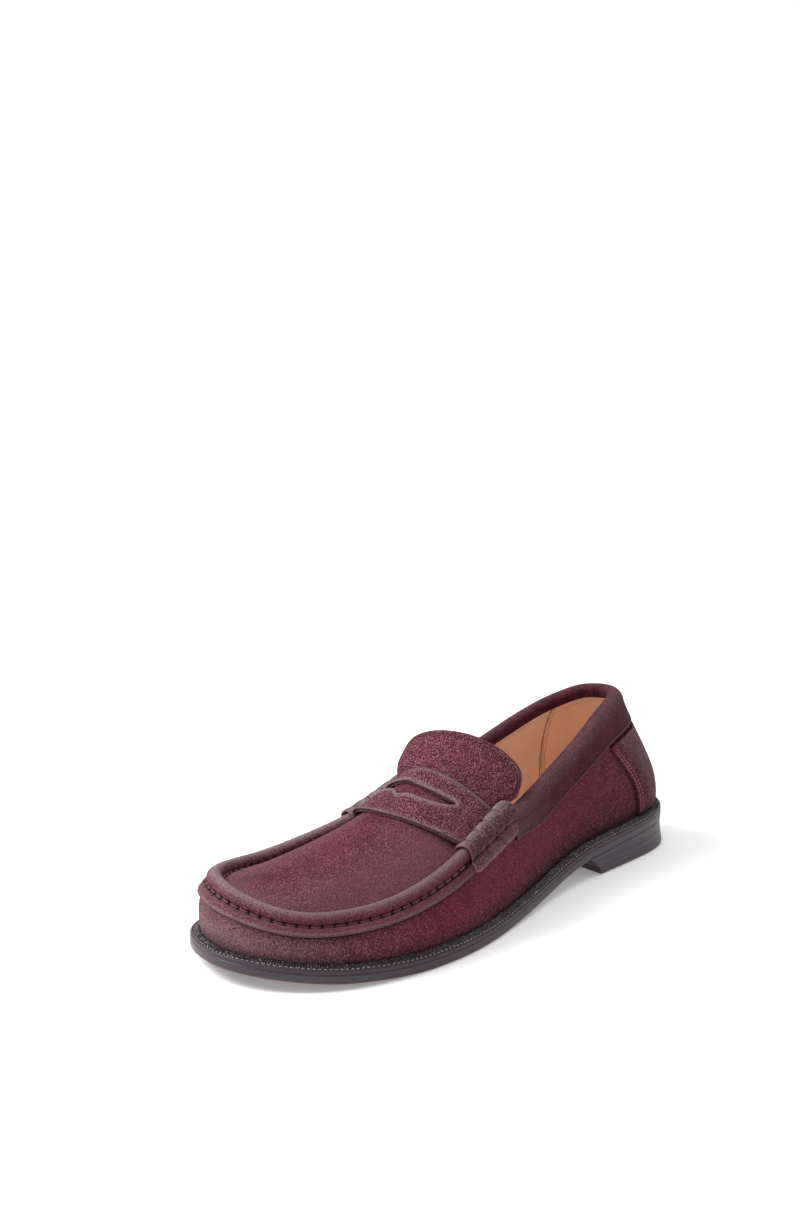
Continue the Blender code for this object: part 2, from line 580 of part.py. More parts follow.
# coin slot: smooth rear edge, two lobes and a small V on the front edge
def slot_outline(n=15):
    y = np.linspace(-1, 1, n)
    rear = 171.0 - 2.4 * y**2 + 0.6 * y
    lobe = 5.4 * np.sqrt(np.maximum(0.0, 1 - y**2)) + 2.8 * np.exp(-((y + 0.14) / 0.12)**2)
    front = rear + np.maximum(lobe, 0.25)
    yy = SLOT_MID + y * SLOT_HALF
    return [(x, w) for x, w in zip(rear, yy)] + [(x, w) for x, w in zip(front[::-1][1:-1], yy[::-1][1:-1])]
bm = bmesh.new()
vs = [bm.verts.new(m_(np.array([x, y, 40.0]))) for x, y in slot_outline()]
f = bm.faces.new(vs)
g = bmesh.ops.extrude_face_region(bm, geom=[f])
bmesh.ops.translate(bm, verts=[e for e in g["geom"] if isinstance(e, bmesh.types.BMVert)], vec=(0.004, 0, 0.03))
slot = obj("slot_cutter", bm, SUEDE)
cut(strap, slot, "coin_slot")

# ------------------------------------------------------------------ roll keepers at the strap's ends
def roll_ring(i, f):
    """Section of a roll at station i, a fraction f of the way from its front to its rear."""
    s = st(i)
    R = RIDGE_R + GAP + 1.5 + 0.9 * f + 0.35 * abs(math.sin(math.pi * 4 * f))
    c = ridge_pt(s, -2.9, 2.6); nn = out_normal(f_top, s)
    def at(r, a):
        q = c.copy(); q[:2] += nn * r * math.cos(math.radians(a)); q[2] += r * math.sin(math.radians(a)); return q
    k = GAP * 2 + APRON_T
    ring = [at(R - (0.4 if a > 120 else 0.0), a) for a in (130, 105, 77, 45, 15)]
    ring += [wall_n(s, 0.955, k + 1.5)[()], wall_n(s, flange_t(s) - 0.015, k + 1.5)[()],
             wall_n(s, flange_t(s) - 0.015, k + 0.3)[()], wall_n(s, 0.955, k + 0.3)[()]]
    ri = RIDGE_R + GAP + 0.3
    ring += [at(ri, a) for a in (12, 45, 77, 105, 130)]
    return ring
def roll(name, i0, i1):
    inner = [i for i in COLS if min(i0, i1) < i < max(i0, i1)]
    marks = sorted(set([i0, i1] + inner + [i0 + (i1 - i0) * k / 8 for k in range(1, 8)
                                           if min([9] + [abs(i0 + (i1 - i0) * k / 8 - c) for c in inner]) > 0.06]))
    if i1 < i0:
        marks = marks[::-1]
    return sweep(name, [roll_ring(i, (i - i0) / (i1 - i0)) for i in marks], SUEDE_DARK)
roll("strap_roll_outer", ROLL_F_L, ROLL_R_L)
roll("strap_roll_inner", ROLL_F_M, ROLL_R_M)

# ------------------------------------------------------------------ collar round the foot opening
def collar_ring(s):
    p0, p1, p2, p3 = handles(s)
    L = np.linalg.norm(p3 - p2)
    end = min(abs(s - st(ROLL_R_M)), abs(s - st(ROLL_R_L) - PER)) / 30.0      # the band narrows towards the rolls
    k = min(1.0, end); k = k * k * (3 - 2 * k)
    tl = 1 - min(0.45, COLLAR_H * (0.62 + 0.38 * k) / (3 * L) * 1.12)
    n = out_normal(f_top, s)
    def at(a, b):
        q = f_top(s).copy(); q[:2] += n * a; q[2] += b; return q
    deep = -(UPPER_T + STIFF_T + LINING_T + 3 * GAP)
    g = GAP + 0.4; o = g + COLLAR_T
    r = [wall_n(s, tl, o)[()], wall_n(s, (tl + 1) / 2, o)[()], wall_n(s, 0.985, o)[()],
         at(-0.4, o), at(deep * 0.5, o + 0.3), at(deep + 0.1, o - 0.4), at(deep - COLLAR_T, -0.9), wall_n(s, 1 - COLLAR_IN / (3 * L), deep - COLLAR_T)[()],
         wall_n(s, 1 - COLLAR_IN / (3 * L), deep)[()], at(deep, -0.9), at(deep + 0.5, g), at(-0.4, g),
         wall_n(s, 0.985, g)[()], wall_n(s, (tl + 1) / 2, g)[()], wall_n(s, tl, g)[()]]
    return r
CS = np.r_[st(ROLL_R_M) + 0.8, between(ROLL_R_M + 0.1, ROLL_R_L + NST - 0.1), st(ROLL_R_L) + PER - 0.8]
sweep("collar", [collar_ring(s) for s in CS], SUEDE)

# ------------------------------------------------------------------ stiffeners between the wall and the lining
T_STIFF = [0.14, 0.32, 0.52, 0.72, 0.80]
T_LINE = [0.06, 0.14, 0.32, 0.52, 0.72, 0.88, 0.955]
def layer(name, i0, i1, T, near, thick, mat, e0=0.0, e1=0.0):
    """One layer of the upper between stations i0 and i1; e0 and e1 (mm) draw its ends in."""
    S = between(i0, i1).copy(); S[0] += e0; S[-1] -= e1
    T = np.array(T)
    return shell(name, wall_grid(S, T, -near), wall_grid(S, T, -near - thick), mat)
D1 = UPPER_T + GAP
COUNTER_L, COUNTER_M = COLS[10], COLS[-10] - 0.0
layer("heel_counter", COUNTER_M, COUNTER_L + NST, T_STIFF, D1, STIFF_T, BOARD)
layer("toe_puff", COL_TOE_L, COL_TOE_M, T_STIFF, D1, STIFF_T, BOARD)
layer("interlining_outer", COUNTER_L, COL_TOE_L, T_STIFF, D1, STIFF_T, BOARD, 0.6, 0.6)
layer("interlining_inner", COL_TOE_M, COUNTER_M, T_STIFF, D1, STIFF_T, BOARD, 0.6, 0.6)
D2 = D1 + STIFF_T + GAP
layer("heel_lining", HEEL_M, HEEL_L + NST, T_LINE, D2, LINING_T, TAN)
layer("quarter_lining_outer", HEEL_L, COL_V_L, T_LINE, D2, LINING_T, TAN, 0.5, 0.0)
layer("quarter_lining_inner", COL_V_M, HEEL_M, T_LINE, D2, LINING_T, TAN, 0.0, 0.5)
# vamp lining: up the wall and across under the apron
SV = between(COL_V_L, COL_V_M)
def vamp_lining(s, k):
    a = [arch(s, v, -APRON_T - GAP - 0.8 - k) for v in (0.0, 0.3, 0.58, 0.80)]
    w = [wall_n(s, t, -D2 - k)[()] for t in (0.66, 0.52, 0.32, 0.14)]
    return a + w
SV[0] += 0.5; SV[-1] -= 0.5
G0, G1 = even([vamp_lining(s, 0.0) for s in SV]), even([vamp_lining(s, LINING_T - 0.1) for s in SV])
shell("vamp_lining", G0, G1, TAN, weld0=True)

# ------------------------------------------------------------------ back stay over the heel
_sx = np.linspace(0, PER, 1601); _wx = wall(_sx, np.full(len(_sx), 0.4))[:, 0]
def s_of_x(x, lateral):
    i = to_i(_sx)
    m = (i < 5) if lateral else (i > 21)
    k = np.argmin(np.abs(_wx[m] - x)); return _sx[m][k]
T_STAY = [0.10, 0.14, 0.32, 0.52, 0.72]
def stay_edge(t):
    return 43.0 - 2.2 * math.sin(math.pi * min(1, (t - 0.085) / 0.6)) + 6.0 * ((t - 0.085) / 0.615)**2
def stay_grid(off):
    mid = between(23.95, 2.05 + NST)
    cols = [[s_of_x(stay_edge(t), False) for t in T_STAY]] + [[s] * len(T_STAY) for s in mid] + [[s_of_x(stay_edge(t), True) + PER for t in T_STAY]]
    return np.array([[wall_n(s, t, off)[()] for s, t in zip(c, T_STAY)] for c in cols])
shell("back_stay", stay_grid(2.5 * GAP + 1.2), stay_grid(2.5 * GAP), SUEDE)

# ------------------------------------------------------------------ tongue (moving) with lining and edge thread
TONGUE_A = [0.0, 0.35, 0.7, 1.0]
TONGUE_MID = [(164.1, -7.0, 62.8), (158.0, -7.0, 69.5), (151.5, -6.6, 75.6), (145.6, -6.0, 81.2)]
TONGUE_LAT = [(157.0, 26.8, 49.8), (149.4, 28.2, 50.0), (140.6, 30.6, 53.6), (131.6, 32.2, 57.4)]
TONGUE_MED = [(163.0, -25.4, 54.2), (160.0, -28.4, 60.8), (156.5, -29.6, 65.6), (152.0, -29.6, 71.0)]
f_tc, f_tl, f_tm = (natural(TONGUE_A, v) for v in (TONGUE_MID, TONGUE_LAT, TONGUE_MED))
def tongue_pt(a, v, off=0.0):
    def base(a, v):
        a = np.asarray(a, float); c = f_tc(a); e = f_tl(a) if v >= 0 else f_tm(a)
        w = abs(v); k = 0.5 + 0.8 * float(a) if v >= 0 else 1.3
        gh = math.sin(k * w) / math.sin(k); gv = (1 - math.cos(k * w)) / (1 - math.cos(k))
        return np.array([c[0] + (e[0] - c[0]) * gh, c[1] + (e[1] - c[1]) * gh, c[2] + (e[2] - c[2]) * gv])
    p = base(a, v)
    if off:
        a0, a1 = max(a - 0.03, 0), min(a + 0.03, 1)
        v0, v1 = (v - 0.01, v + 0.01) if abs(v) > 0.02 else (-0.03, 0.03)
        n = unit(np.cross(base(a1, v) - base(a0, v), base(a, v1) - base(a, v0))); n = n * (1 if n[2] > 0 else -1)
        p = p + n * off
    return p
def corner(v):
    """How far up the tongue reaches at v: its two top corners are rounded."""
    return 1.0 - 0.27 * max(0.0, (abs(v) - 0.66) / 0.34)**3.0
def tongue_grid(off, v_in=0.0, a_in=0.0, na=7, nv=15):
    return np.array([[tongue_pt(a * (corner(v) - a_in), v, off) for a in np.linspace(0.0, 1.0, na)]
                     for v in np.linspace(-1 + v_in, 1 - v_in, nv)])
shell("tongue", tongue_grid(0.0), tongue_grid(-1.4), SUEDE)
shell("tongue_lining", tongue_grid(-1.4 - GAP, 0.02, 0.02), tongue_grid(-1.4 - GAP - 0.8, 0.02, 0.02), TAN)
thread("tongue_thread", [tongue_pt(corner(v) - 0.09, v, 0.75) for v in np.linspace(-0.93, 0.93, 27)], 0.3)

# ------------------------------------------------------------------ seam threads
ST = np.r_[st(ROLL_F_L) + 1.5, between(ROLL_F_L + 0.1, ROLL_F_M - 0.1), st(ROLL_F_M) - 1.5]
pts = [wall_n(s, 0.985, GAP + APRON_T + 0.9)[()] for s in ST]
thread("apron_thread", pts, 0.4)
def roll_thread(name, i0, i1):
    """One lashing thread: four turns over the roll, joined along its foot."""
    pts = []
    for k in range(4):
        f = (k + 0.5) / 4
        s = st(i0 + (i1 - i0) * f)
        R = RIDGE_R + GAP + 1.5 + 0.9 * f + 0.35 + 0.95
        c = ridge_pt(s, -2.9, 2.6); nn = out_normal(f_top, s)
        for a in ((108, 85, 62, 40, 18) if k % 2 == 0 else (18, 40, 62, 85, 108)):
            q = c.copy(); q[:2] += nn * R * math.cos(math.radians(a)); q[2] += R * math.sin(math.radians(a)); pts.append(q)
    return thread(name, pts, 0.4)
roll_thread("roll_thread_outer", ROLL_F_L, ROLL_R_L)
roll_thread("roll_thread_inner", ROLL_F_M, ROLL_R_M)
def stay_thread(name, lateral):
    pts = [wall_n(s_of_x(stay_edge(t) - 2.6, lateral), t, 2.5 * GAP + 1.2 + 0.65)[()] for t in (0.13, 0.2, 0.3, 0.4, 0.5, 0.58, 0.65)]
    return thread(name, pts, 0.3)
stay_thread("stay_thread_outer", True)
stay_thread("stay_thread_inner", False)
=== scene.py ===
# Looks of the penny loafer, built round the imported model.
# Camera first, then each visible piece as its own fine mesh over the same curves as the frame's solids.
import math
import bpy
import numpy as np
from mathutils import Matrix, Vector, geometry, kdtree


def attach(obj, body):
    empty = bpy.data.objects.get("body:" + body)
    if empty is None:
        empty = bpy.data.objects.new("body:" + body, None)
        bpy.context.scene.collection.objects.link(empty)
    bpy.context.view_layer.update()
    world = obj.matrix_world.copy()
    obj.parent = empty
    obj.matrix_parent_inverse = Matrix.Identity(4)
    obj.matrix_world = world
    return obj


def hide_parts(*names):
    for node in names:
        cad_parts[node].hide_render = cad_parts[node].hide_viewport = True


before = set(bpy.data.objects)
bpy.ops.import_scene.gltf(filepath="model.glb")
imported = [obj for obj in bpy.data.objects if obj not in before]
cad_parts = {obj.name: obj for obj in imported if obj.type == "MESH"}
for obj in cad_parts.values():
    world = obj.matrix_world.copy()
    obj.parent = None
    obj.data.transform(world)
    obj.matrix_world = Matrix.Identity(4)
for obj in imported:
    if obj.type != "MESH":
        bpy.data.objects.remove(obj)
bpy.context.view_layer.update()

# ------------------------------------------------------------------ driving dimensions (mm)
OUTSOLE_T = 4.0          # outsole thickness
WELT_T = 2.2             # welt thickness at its outer edge
WELT_RISE = 1.5          # how much the welt climbs towards the upper
OVERHANG = 5.0           # sole edge to foot of the upper
UPPER_T = 1.6            # upper leather
APRON_T = 1.6
STIFF_T = 1.1            # counter, puff, interlining
LINING_T = 1.0
COLLAR_T = 1.3
STRAP_T = 1.8
GAP = 0.3                # running gap between neighbouring pieces
RIDGE_R = 3.6            # rolled apron edge, outer radius
CORD_R = 1.5             # piping cord inside it
COLLAR_H = 14.5          # height of the collar band outside
COLLAR_IN = 2.8          # inner leg of the collar
FLANGE_W = 4.4           # flange of the apron below its stitching
TOP_PIECE_T = 4.0        # rubber top piece of the heel
LIFT_T = 3.0
BREAST_TOP_X = 85.0      # heel breast at the outsole
NAIL_R = 1.1
SLOT_HALF = 24.4         # half length of the coin slot
SLOT_MID = -4.6          # its middle, a little to the inner side

# sole outline, heel back -> outer side -> toe -> inner side
OUTLINE = [(-2.2, 0.2), (1.4, 17.8), (16.6, 29.9), (42.0, 34.6), (72.0, 35.4), (102.9, 36.6), (133.4, 42.1),
           (163.9, 48.9), (194.3, 53.7), (221.6, 53.3), (248.0, 47.4), (272.6, 35.4), (289.3, 17.3), (296.6, -2.7),
           (294.1, -20.4), (283.5, -39.4), (264.4, -51.8), (239.2, -55.9), (211.8, -55.0), (182.1, -48.4),
           (150.5, -38.8), (118.8, -33.2), (86.2, -33.2), (51.6, -34.6), (19.5, -29.6), (2.6, -17.4)]
# top edge of the upper wall: topline behind, apron seam in front
TOP = [(24.0, -0.5, 82.5), (29.5, 10.0, 82.5), (40.5, 16.5, 81.5), (56.5, 21.0, 78.0), (78.5, 25.0, 69.5),
       (104.0, 28.0, 59.5), (133.0, 33.0, 50.8), (163.0, 38.0, 43.0), (190.0, 41.5, 35.0), (213.0, 43.0, 29.5),
       (238.0, 40.5, 25.5), (262.0, 31.0, 24.0), (279.0, 17.0, 26.0), (288.0, -1.5, 31.0), (287.5, -16.0, 33.5),
       (279.0, -31.5, 33.5), (261.0, -41.5, 31.0), (237.0, -44.5, 29.0), (211.0, -42.0, 31.5), (184.0, -37.3, 37.2),
       (156.0, -33.8, 46.4), (127.0, -31.0, 54.2), (97.0, -30.0, 61.5), (62.5, -26.5, 72.2), (38.5, -19.0, 79.5),
       (28.0, -11.5, 82.0)]
# profile handles: lower handle out and up, upper handle out and down
H1OUT = [6, 5.5, 4, 2.2, 1, 0.6, 0.6, 1.1, 1.6, 1.9, 1.7, 1.6, 1.4, 1.3, 1.2, 1.3, 1.7, 2.1, 2.2, 2, 1.8, 1.8, 2.2, 3.3, 4.5, 5.5]
H1UP = [21, 21, 21, 20, 18, 16, 14, 12, 10, 9, 8, 7, 7, 7, 7, 7.5, 8, 9, 10, 12, 14, 16, 18, 20, 21, 21]
H2OUT = [9, 7, 4.5, 2, 0.5, 0.2, 1.2, 3.8, 6, 7, 6.8, 6.4, 6.4, 6.2, 6, 5.8, 6, 6.2, 6.2, 5.5, 5, 5, 5.5, 7, 8, 9]
H2DOWN = [22, 23, 23, 23, 21.5, 20, 17, 14, 9.5, 7, 5, 4.2, 4, 4.2, 4.8, 5.6, 6.2, 6.7, 8, 11, 14, 15, 17, 19, 20, 21.5]
# outsole underside height along the shoe
ZB_X = [-10, 0, 72, 85, 105, 130, 160, 190, 225, 260, 285, 300]
ZB_Z = [14.6, 14.2, 10.9, 9.9, 6.8, 3.2, 0.8, 0.0, 0.0, 1.8, 4.8, 7.2]
# crest line of the instep: length reached opposite each wall station, then side shift and height along it
CREST_I = [6.6, 7, 8, 9, 10, 11, 12, 13, 13.5, 14, 15, 16, 17, 18, 19, 20, 20.3]
CREST_X = [160, 170, 198, 219, 238, 252, 260, 263.6, 264.2, 263.6, 259, 250, 236, 217, 193, 167, 160]
CREST_SX = [150, 160, 170, 180, 193, 205, 219, 238, 252, 265]
CREST_SY = [-6.5, -7.0, -8.0, -9.0, -10.0, -10.2, -10.0, -9.4, -9.0, -8.6]
CREST_SZ = [71.5, 66.8, 61.6, 56.0, 49.4, 45.0, 41.4, 37.6, 36.0, 35.2]
# roundness of the instep section at each wall station
ROUND_I = [6, 7, 9, 11, 13, 15, 17, 19, 21]
ROUND_K = [0.35, 0.35, 0.55, 0.9, 1.1, 1.1, 1.2, 1.42, 1.5]

# ------------------------------------------------------------------ small numeric tools
def fritsch(xs, ys):
    xs, ys = np.array(xs, float), np.array(ys, float)
    h = np.diff(xs); d = np.diff(ys) / h
    m = np.zeros(len(xs)); m[0], m[-1] = d[0], d[-1]
    for i in range(1, len(xs) - 1):
        if d[i - 1] * d[i] > 0:
            w1, w2 = 2 * h[i] + h[i - 1], h[i] + 2 * h[i - 1]
            m[i] = (w1 + w2) / (w1 / d[i - 1] + w2 / d[i])
    def f(x):
        x = np.clip(np.asarray(x, float), xs[0], xs[-1])
        i = np.clip(np.searchsorted(xs, x) - 1, 0, len(h) - 1)
        t = (x - xs[i]) / h[i]
        return ((2 * t**3 - 3 * t**2 + 1) * ys[i] + (t**3 - 2 * t**2 + t) * h[i] * m[i]
                + (-2 * t**3 + 3 * t**2) * ys[i + 1] + (t**3 - t**2) * h[i] * m[i + 1])
    return f


def periodic(knots, vals):
    """Periodic cubic spline through vals (n, dim) at knots, closing at knots[-1]."""
    k = np.array(knots, float); v = np.array(vals, float)
    if v.ndim == 1:
        v = v[:, None]
    n = len(v); h = np.diff(k)
    A = np.zeros((n, n)); B = np.zeros_like(v)
    for i in range(n):
        p, q = (i - 1) % n, (i + 1) % n
        A[i, p] += h[p]; A[i, i] += 2 * (h[p] + h[i]); A[i, q] += h[i]
        B[i] = 6 * ((v[q] - v[i]) / h[i] - (v[i] - v[p]) / h[p])
    M = np.linalg.solve(A, B)
    per = k[-1] - k[0]
    def f(s):
        s = np.mod(np.asarray(s, float) - k[0], per) + k[0]
        i = np.clip(np.searchsorted(k, s, side="right") - 1, 0, n - 1)
        j = (i + 1) % n
        a = ((k[i + 1] - s) / h[i])[..., None]; b = 1 - a
        hh = (h[i] ** 2)[..., None]
        return a * v[i] + b * v[j] + ((a**3 - a) * M[i] + (b**3 - b) * M[j]) * hh / 6
    return f


def natural(knots, vals):
    """Natural cubic spline through vals (n, dim)."""
    k = np.array(knots, float); v = np.array(vals, float)
    if v.ndim == 1:
        v = v[:, None]
    n = len(v); h = np.diff(k)
    A = np.eye(n); B = np.zeros_like(v)
    for i in range(1, n - 1):
        A[i, i - 1], A[i, i], A[i, i + 1] = h[i - 1], 2 * (h[i - 1] + h[i]), h[i]
        B[i] = 6 * ((v[i + 1] - v[i]) / h[i] - (v[i] - v[i - 1]) / h[i - 1])
    M = np.linalg.solve(A, B)
    def f(s):
        s = np.clip(np.asarray(s, float), k[0], k[-1])
        i = np.clip(np.searchsorted(k, s, side="right") - 1, 0, n - 2)
        a = ((k[i + 1] - s) / h[i])[..., None]; b = 1 - a
        hh = (h[i] ** 2)[..., None]
        return a * v[i] + b * v[i + 1] + ((a**3 - a) * M[i] + (b**3 - b) * M[i + 1]) * hh / 6
    return f


# ------------------------------------------------------------------ the last: outline, wall and instep surfaces
NST = len(OUTLINE)
_o = np.array(OUTLINE + OUTLINE[:1], float)
KN = np.r_[0, np.cumsum(np.linalg.norm(np.diff(_o, axis=0), axis=1))]
PER = KN[-1]
f_out = periodic(KN, OUTLINE)
f_top = periodic(KN, TOP)
f_h = periodic(KN, np.c_[H1OUT, H1UP, H2OUT, H2DOWN])
f_zb = fritsch(ZB_X, ZB_Z)
f_cx = fritsch(CREST_I[:9], CREST_X[:9]); f_cx2 = fritsch(CREST_I[8:], CREST_X[8:])
f_cy = natural(CREST_SX, CREST_SY); f_cz = natural(CREST_SX, CREST_SZ)
f_round = fritsch(ROUND_I, ROUND_K)


def crest(i):
    """Point on the crest line opposite wall station i."""
    i = np.asarray(i, float)
    x = np.where(i <= 13.5, f_cx(i), f_cx2(i))
    return np.concatenate([x[..., None], f_cy(x), f_cz(x)], -1)


def across(i):
    """Inner-side station facing the same crest point as the outer-side station i."""
    j = np.linspace(13.5, 20.3, 2001)
    return float(np.interp(-f_cx(i), -f_cx2(j), j))


def st(i):
    """Perimeter length of a (fractional) station number."""
    i = np.asarray(i, float)
    return np.interp(np.mod(i, NST), np.arange(NST + 1), KN) + np.floor(i / NST) * PER


def to_i(s):
    return np.interp(np.mod(s, PER), KN, np.arange(NST + 1))


def unit(v):
    return v / np.maximum(np.linalg.norm(v, axis=-1, keepdims=True), 1e-9)


def out_normal(f, s, e=0.5):
    d = f(s + e)[..., :2] - f(s - e)[..., :2]
    n = np.stack([-d[..., 1], d[..., 0]], -1)
    return unit(n)


def sole(s, inset=0.0):
    return f_out(s) - out_normal(f_out, s) * np.asarray(inset)[..., None]


def handles(s):
    s = np.asarray(s, float)
    n = out_normal(f_out, s)
    n3 = np.concatenate([n, np.zeros(n.shape[:-1] + (1,))], -1)
    up = np.zeros_like(n3); up[..., 2] = 1
    foot = f_out(s) - n * (OVERHANG + 0.1)
    p0 = np.concatenate([foot, (f_zb(foot[..., 0]) + OUTSOLE_T + 1.3)[..., None]], -1)
    p3 = f_top(s)
    h = f_h(s)
    p1 = p0 + n3 * h[..., 0:1] + up * h[..., 1:2]
    p2 = p3 + n3 * h[..., 2:3] - up * h[..., 3:4]
    return p0, p1, p2, p3


def wall(s, t):
    """Outer face of the upper wall: t = 0 at the welt, 1 at the top edge."""
    p0, p1, p2, p3 = handles(s)
    t = np.asarray(t, float)[..., None]
    return (1 - t)**3 * p0 + 3 * (1 - t)**2 * t * p1 + 3 * (1 - t) * t**2 * p2 + t**3 * p3


def wall_n(s, t, off=0.0):
    """Wall face moved along its own normal."""
    e = 0.4; et = 0.01
    ds = wall(s + e, t) - wall(s - e, t)
    dt = wall(s, np.minimum(np.asarray(t) + et, 1.0)) - wall(s, np.maximum(np.asarray(t) - et, 0.0))
    n = unit(np.cross(dt, ds))
    o = out_normal(f_out, s)
    sign = np.sign((n[..., :2] * o).sum(-1, keepdims=True)); sign[sign == 0] = 1
    return wall(s, t) + n * sign * np.asarray(off)[..., None]


def arch(s, v, off=0.0, foot=(-6.4, 1.4)):
    """Instep face: v = 1 at foot (beside and above the seam), 0 on the crest line."""
    def base(s, v):
        b = ridge_pt(s, *foot)
        c = crest(to_i(s)); k = f_round(to_i(s))
        gh = np.sin(k * v) / np.sin(k); gv = (1 - np.cos(k * v)) / (1 - np.cos(k))
        return np.concatenate([c[..., :2] + (b - c)[..., :2] * gh[..., None], (c[..., 2] + (b - c)[..., 2] * gv)[..., None]], -1)
    v = np.asarray(v, float) + 0 * np.asarray(s); s = np.asarray(s, float) + 0 * v
    p = base(s, v)
    if np.all(np.asarray(off) == 0):
        return p
    e = 0.5
    ds = base(s + e, v) - base(s - e, v)
    dv = base(s, v + 0.01) - base(s, v - 0.01)
    n = unit(np.cross(ds, dv)); n *= np.where(n[..., 2:3] < 0, -1, 1)
    return p + n * np.asarray(off)[..., None]


def ridge_pt(s, n_off, z_off):
    """A point beside the top edge: n_off outward, z_off up."""
    p = f_top(s); n = out_normal(f_top, s)
    q = p.copy()
    q[..., :2] += n * np.asarray(n_off)[..., None] if np.ndim(n_off) else n * n_off
    q[..., 2] += z_off
    return q


# middle of the box, so that the origin is under it
_all = f_out(np.linspace(0, PER, 4001))
CX = (_all[:, 0].min() + _all[:, 0].max()) / 2
CY = (_all[:, 1].min() + _all[:, 1].max()) / 2


def m_(p):
    """mm in the shoe's own numbers -> metres in the frame."""
    p = np.asarray(p, float)
    return np.stack([(p[..., 0] - CX), (p[..., 1] - CY), p[..., 2]], -1) * 0.001


# ------------------------------------------------------------------ camera
CAM_AT = (715.56, 489.27, 279.98)      # in the shoe's own numbers, mm
CAM_AZ, CAM_EL, CAM_LENS = 132.87, 10.24, 47.76
_a, _e = math.radians(CAM_AZ), math.radians(CAM_EL)
cam_data = bpy.data.cameras.new("camera")
cam_data.lens, cam_data.sensor_width, cam_data.sensor_fit = CAM_LENS, 36.0, "AUTO"
cam_data.clip_start, cam_data.clip_end = 0.01, 100.0
cam = bpy.data.objects.new("camera", cam_data)
cam.location = tuple(m_(np.array(CAM_AT)))
cam.rotation_euler = Vector((math.sin(_a) * math.cos(_e), -math.cos(_a) * math.cos(_e), math.sin(_e))).to_track_quat("Z", "Y").to_euler()
bpy.context.scene.collection.objects.link(cam)
bpy.context.scene.camera = cam


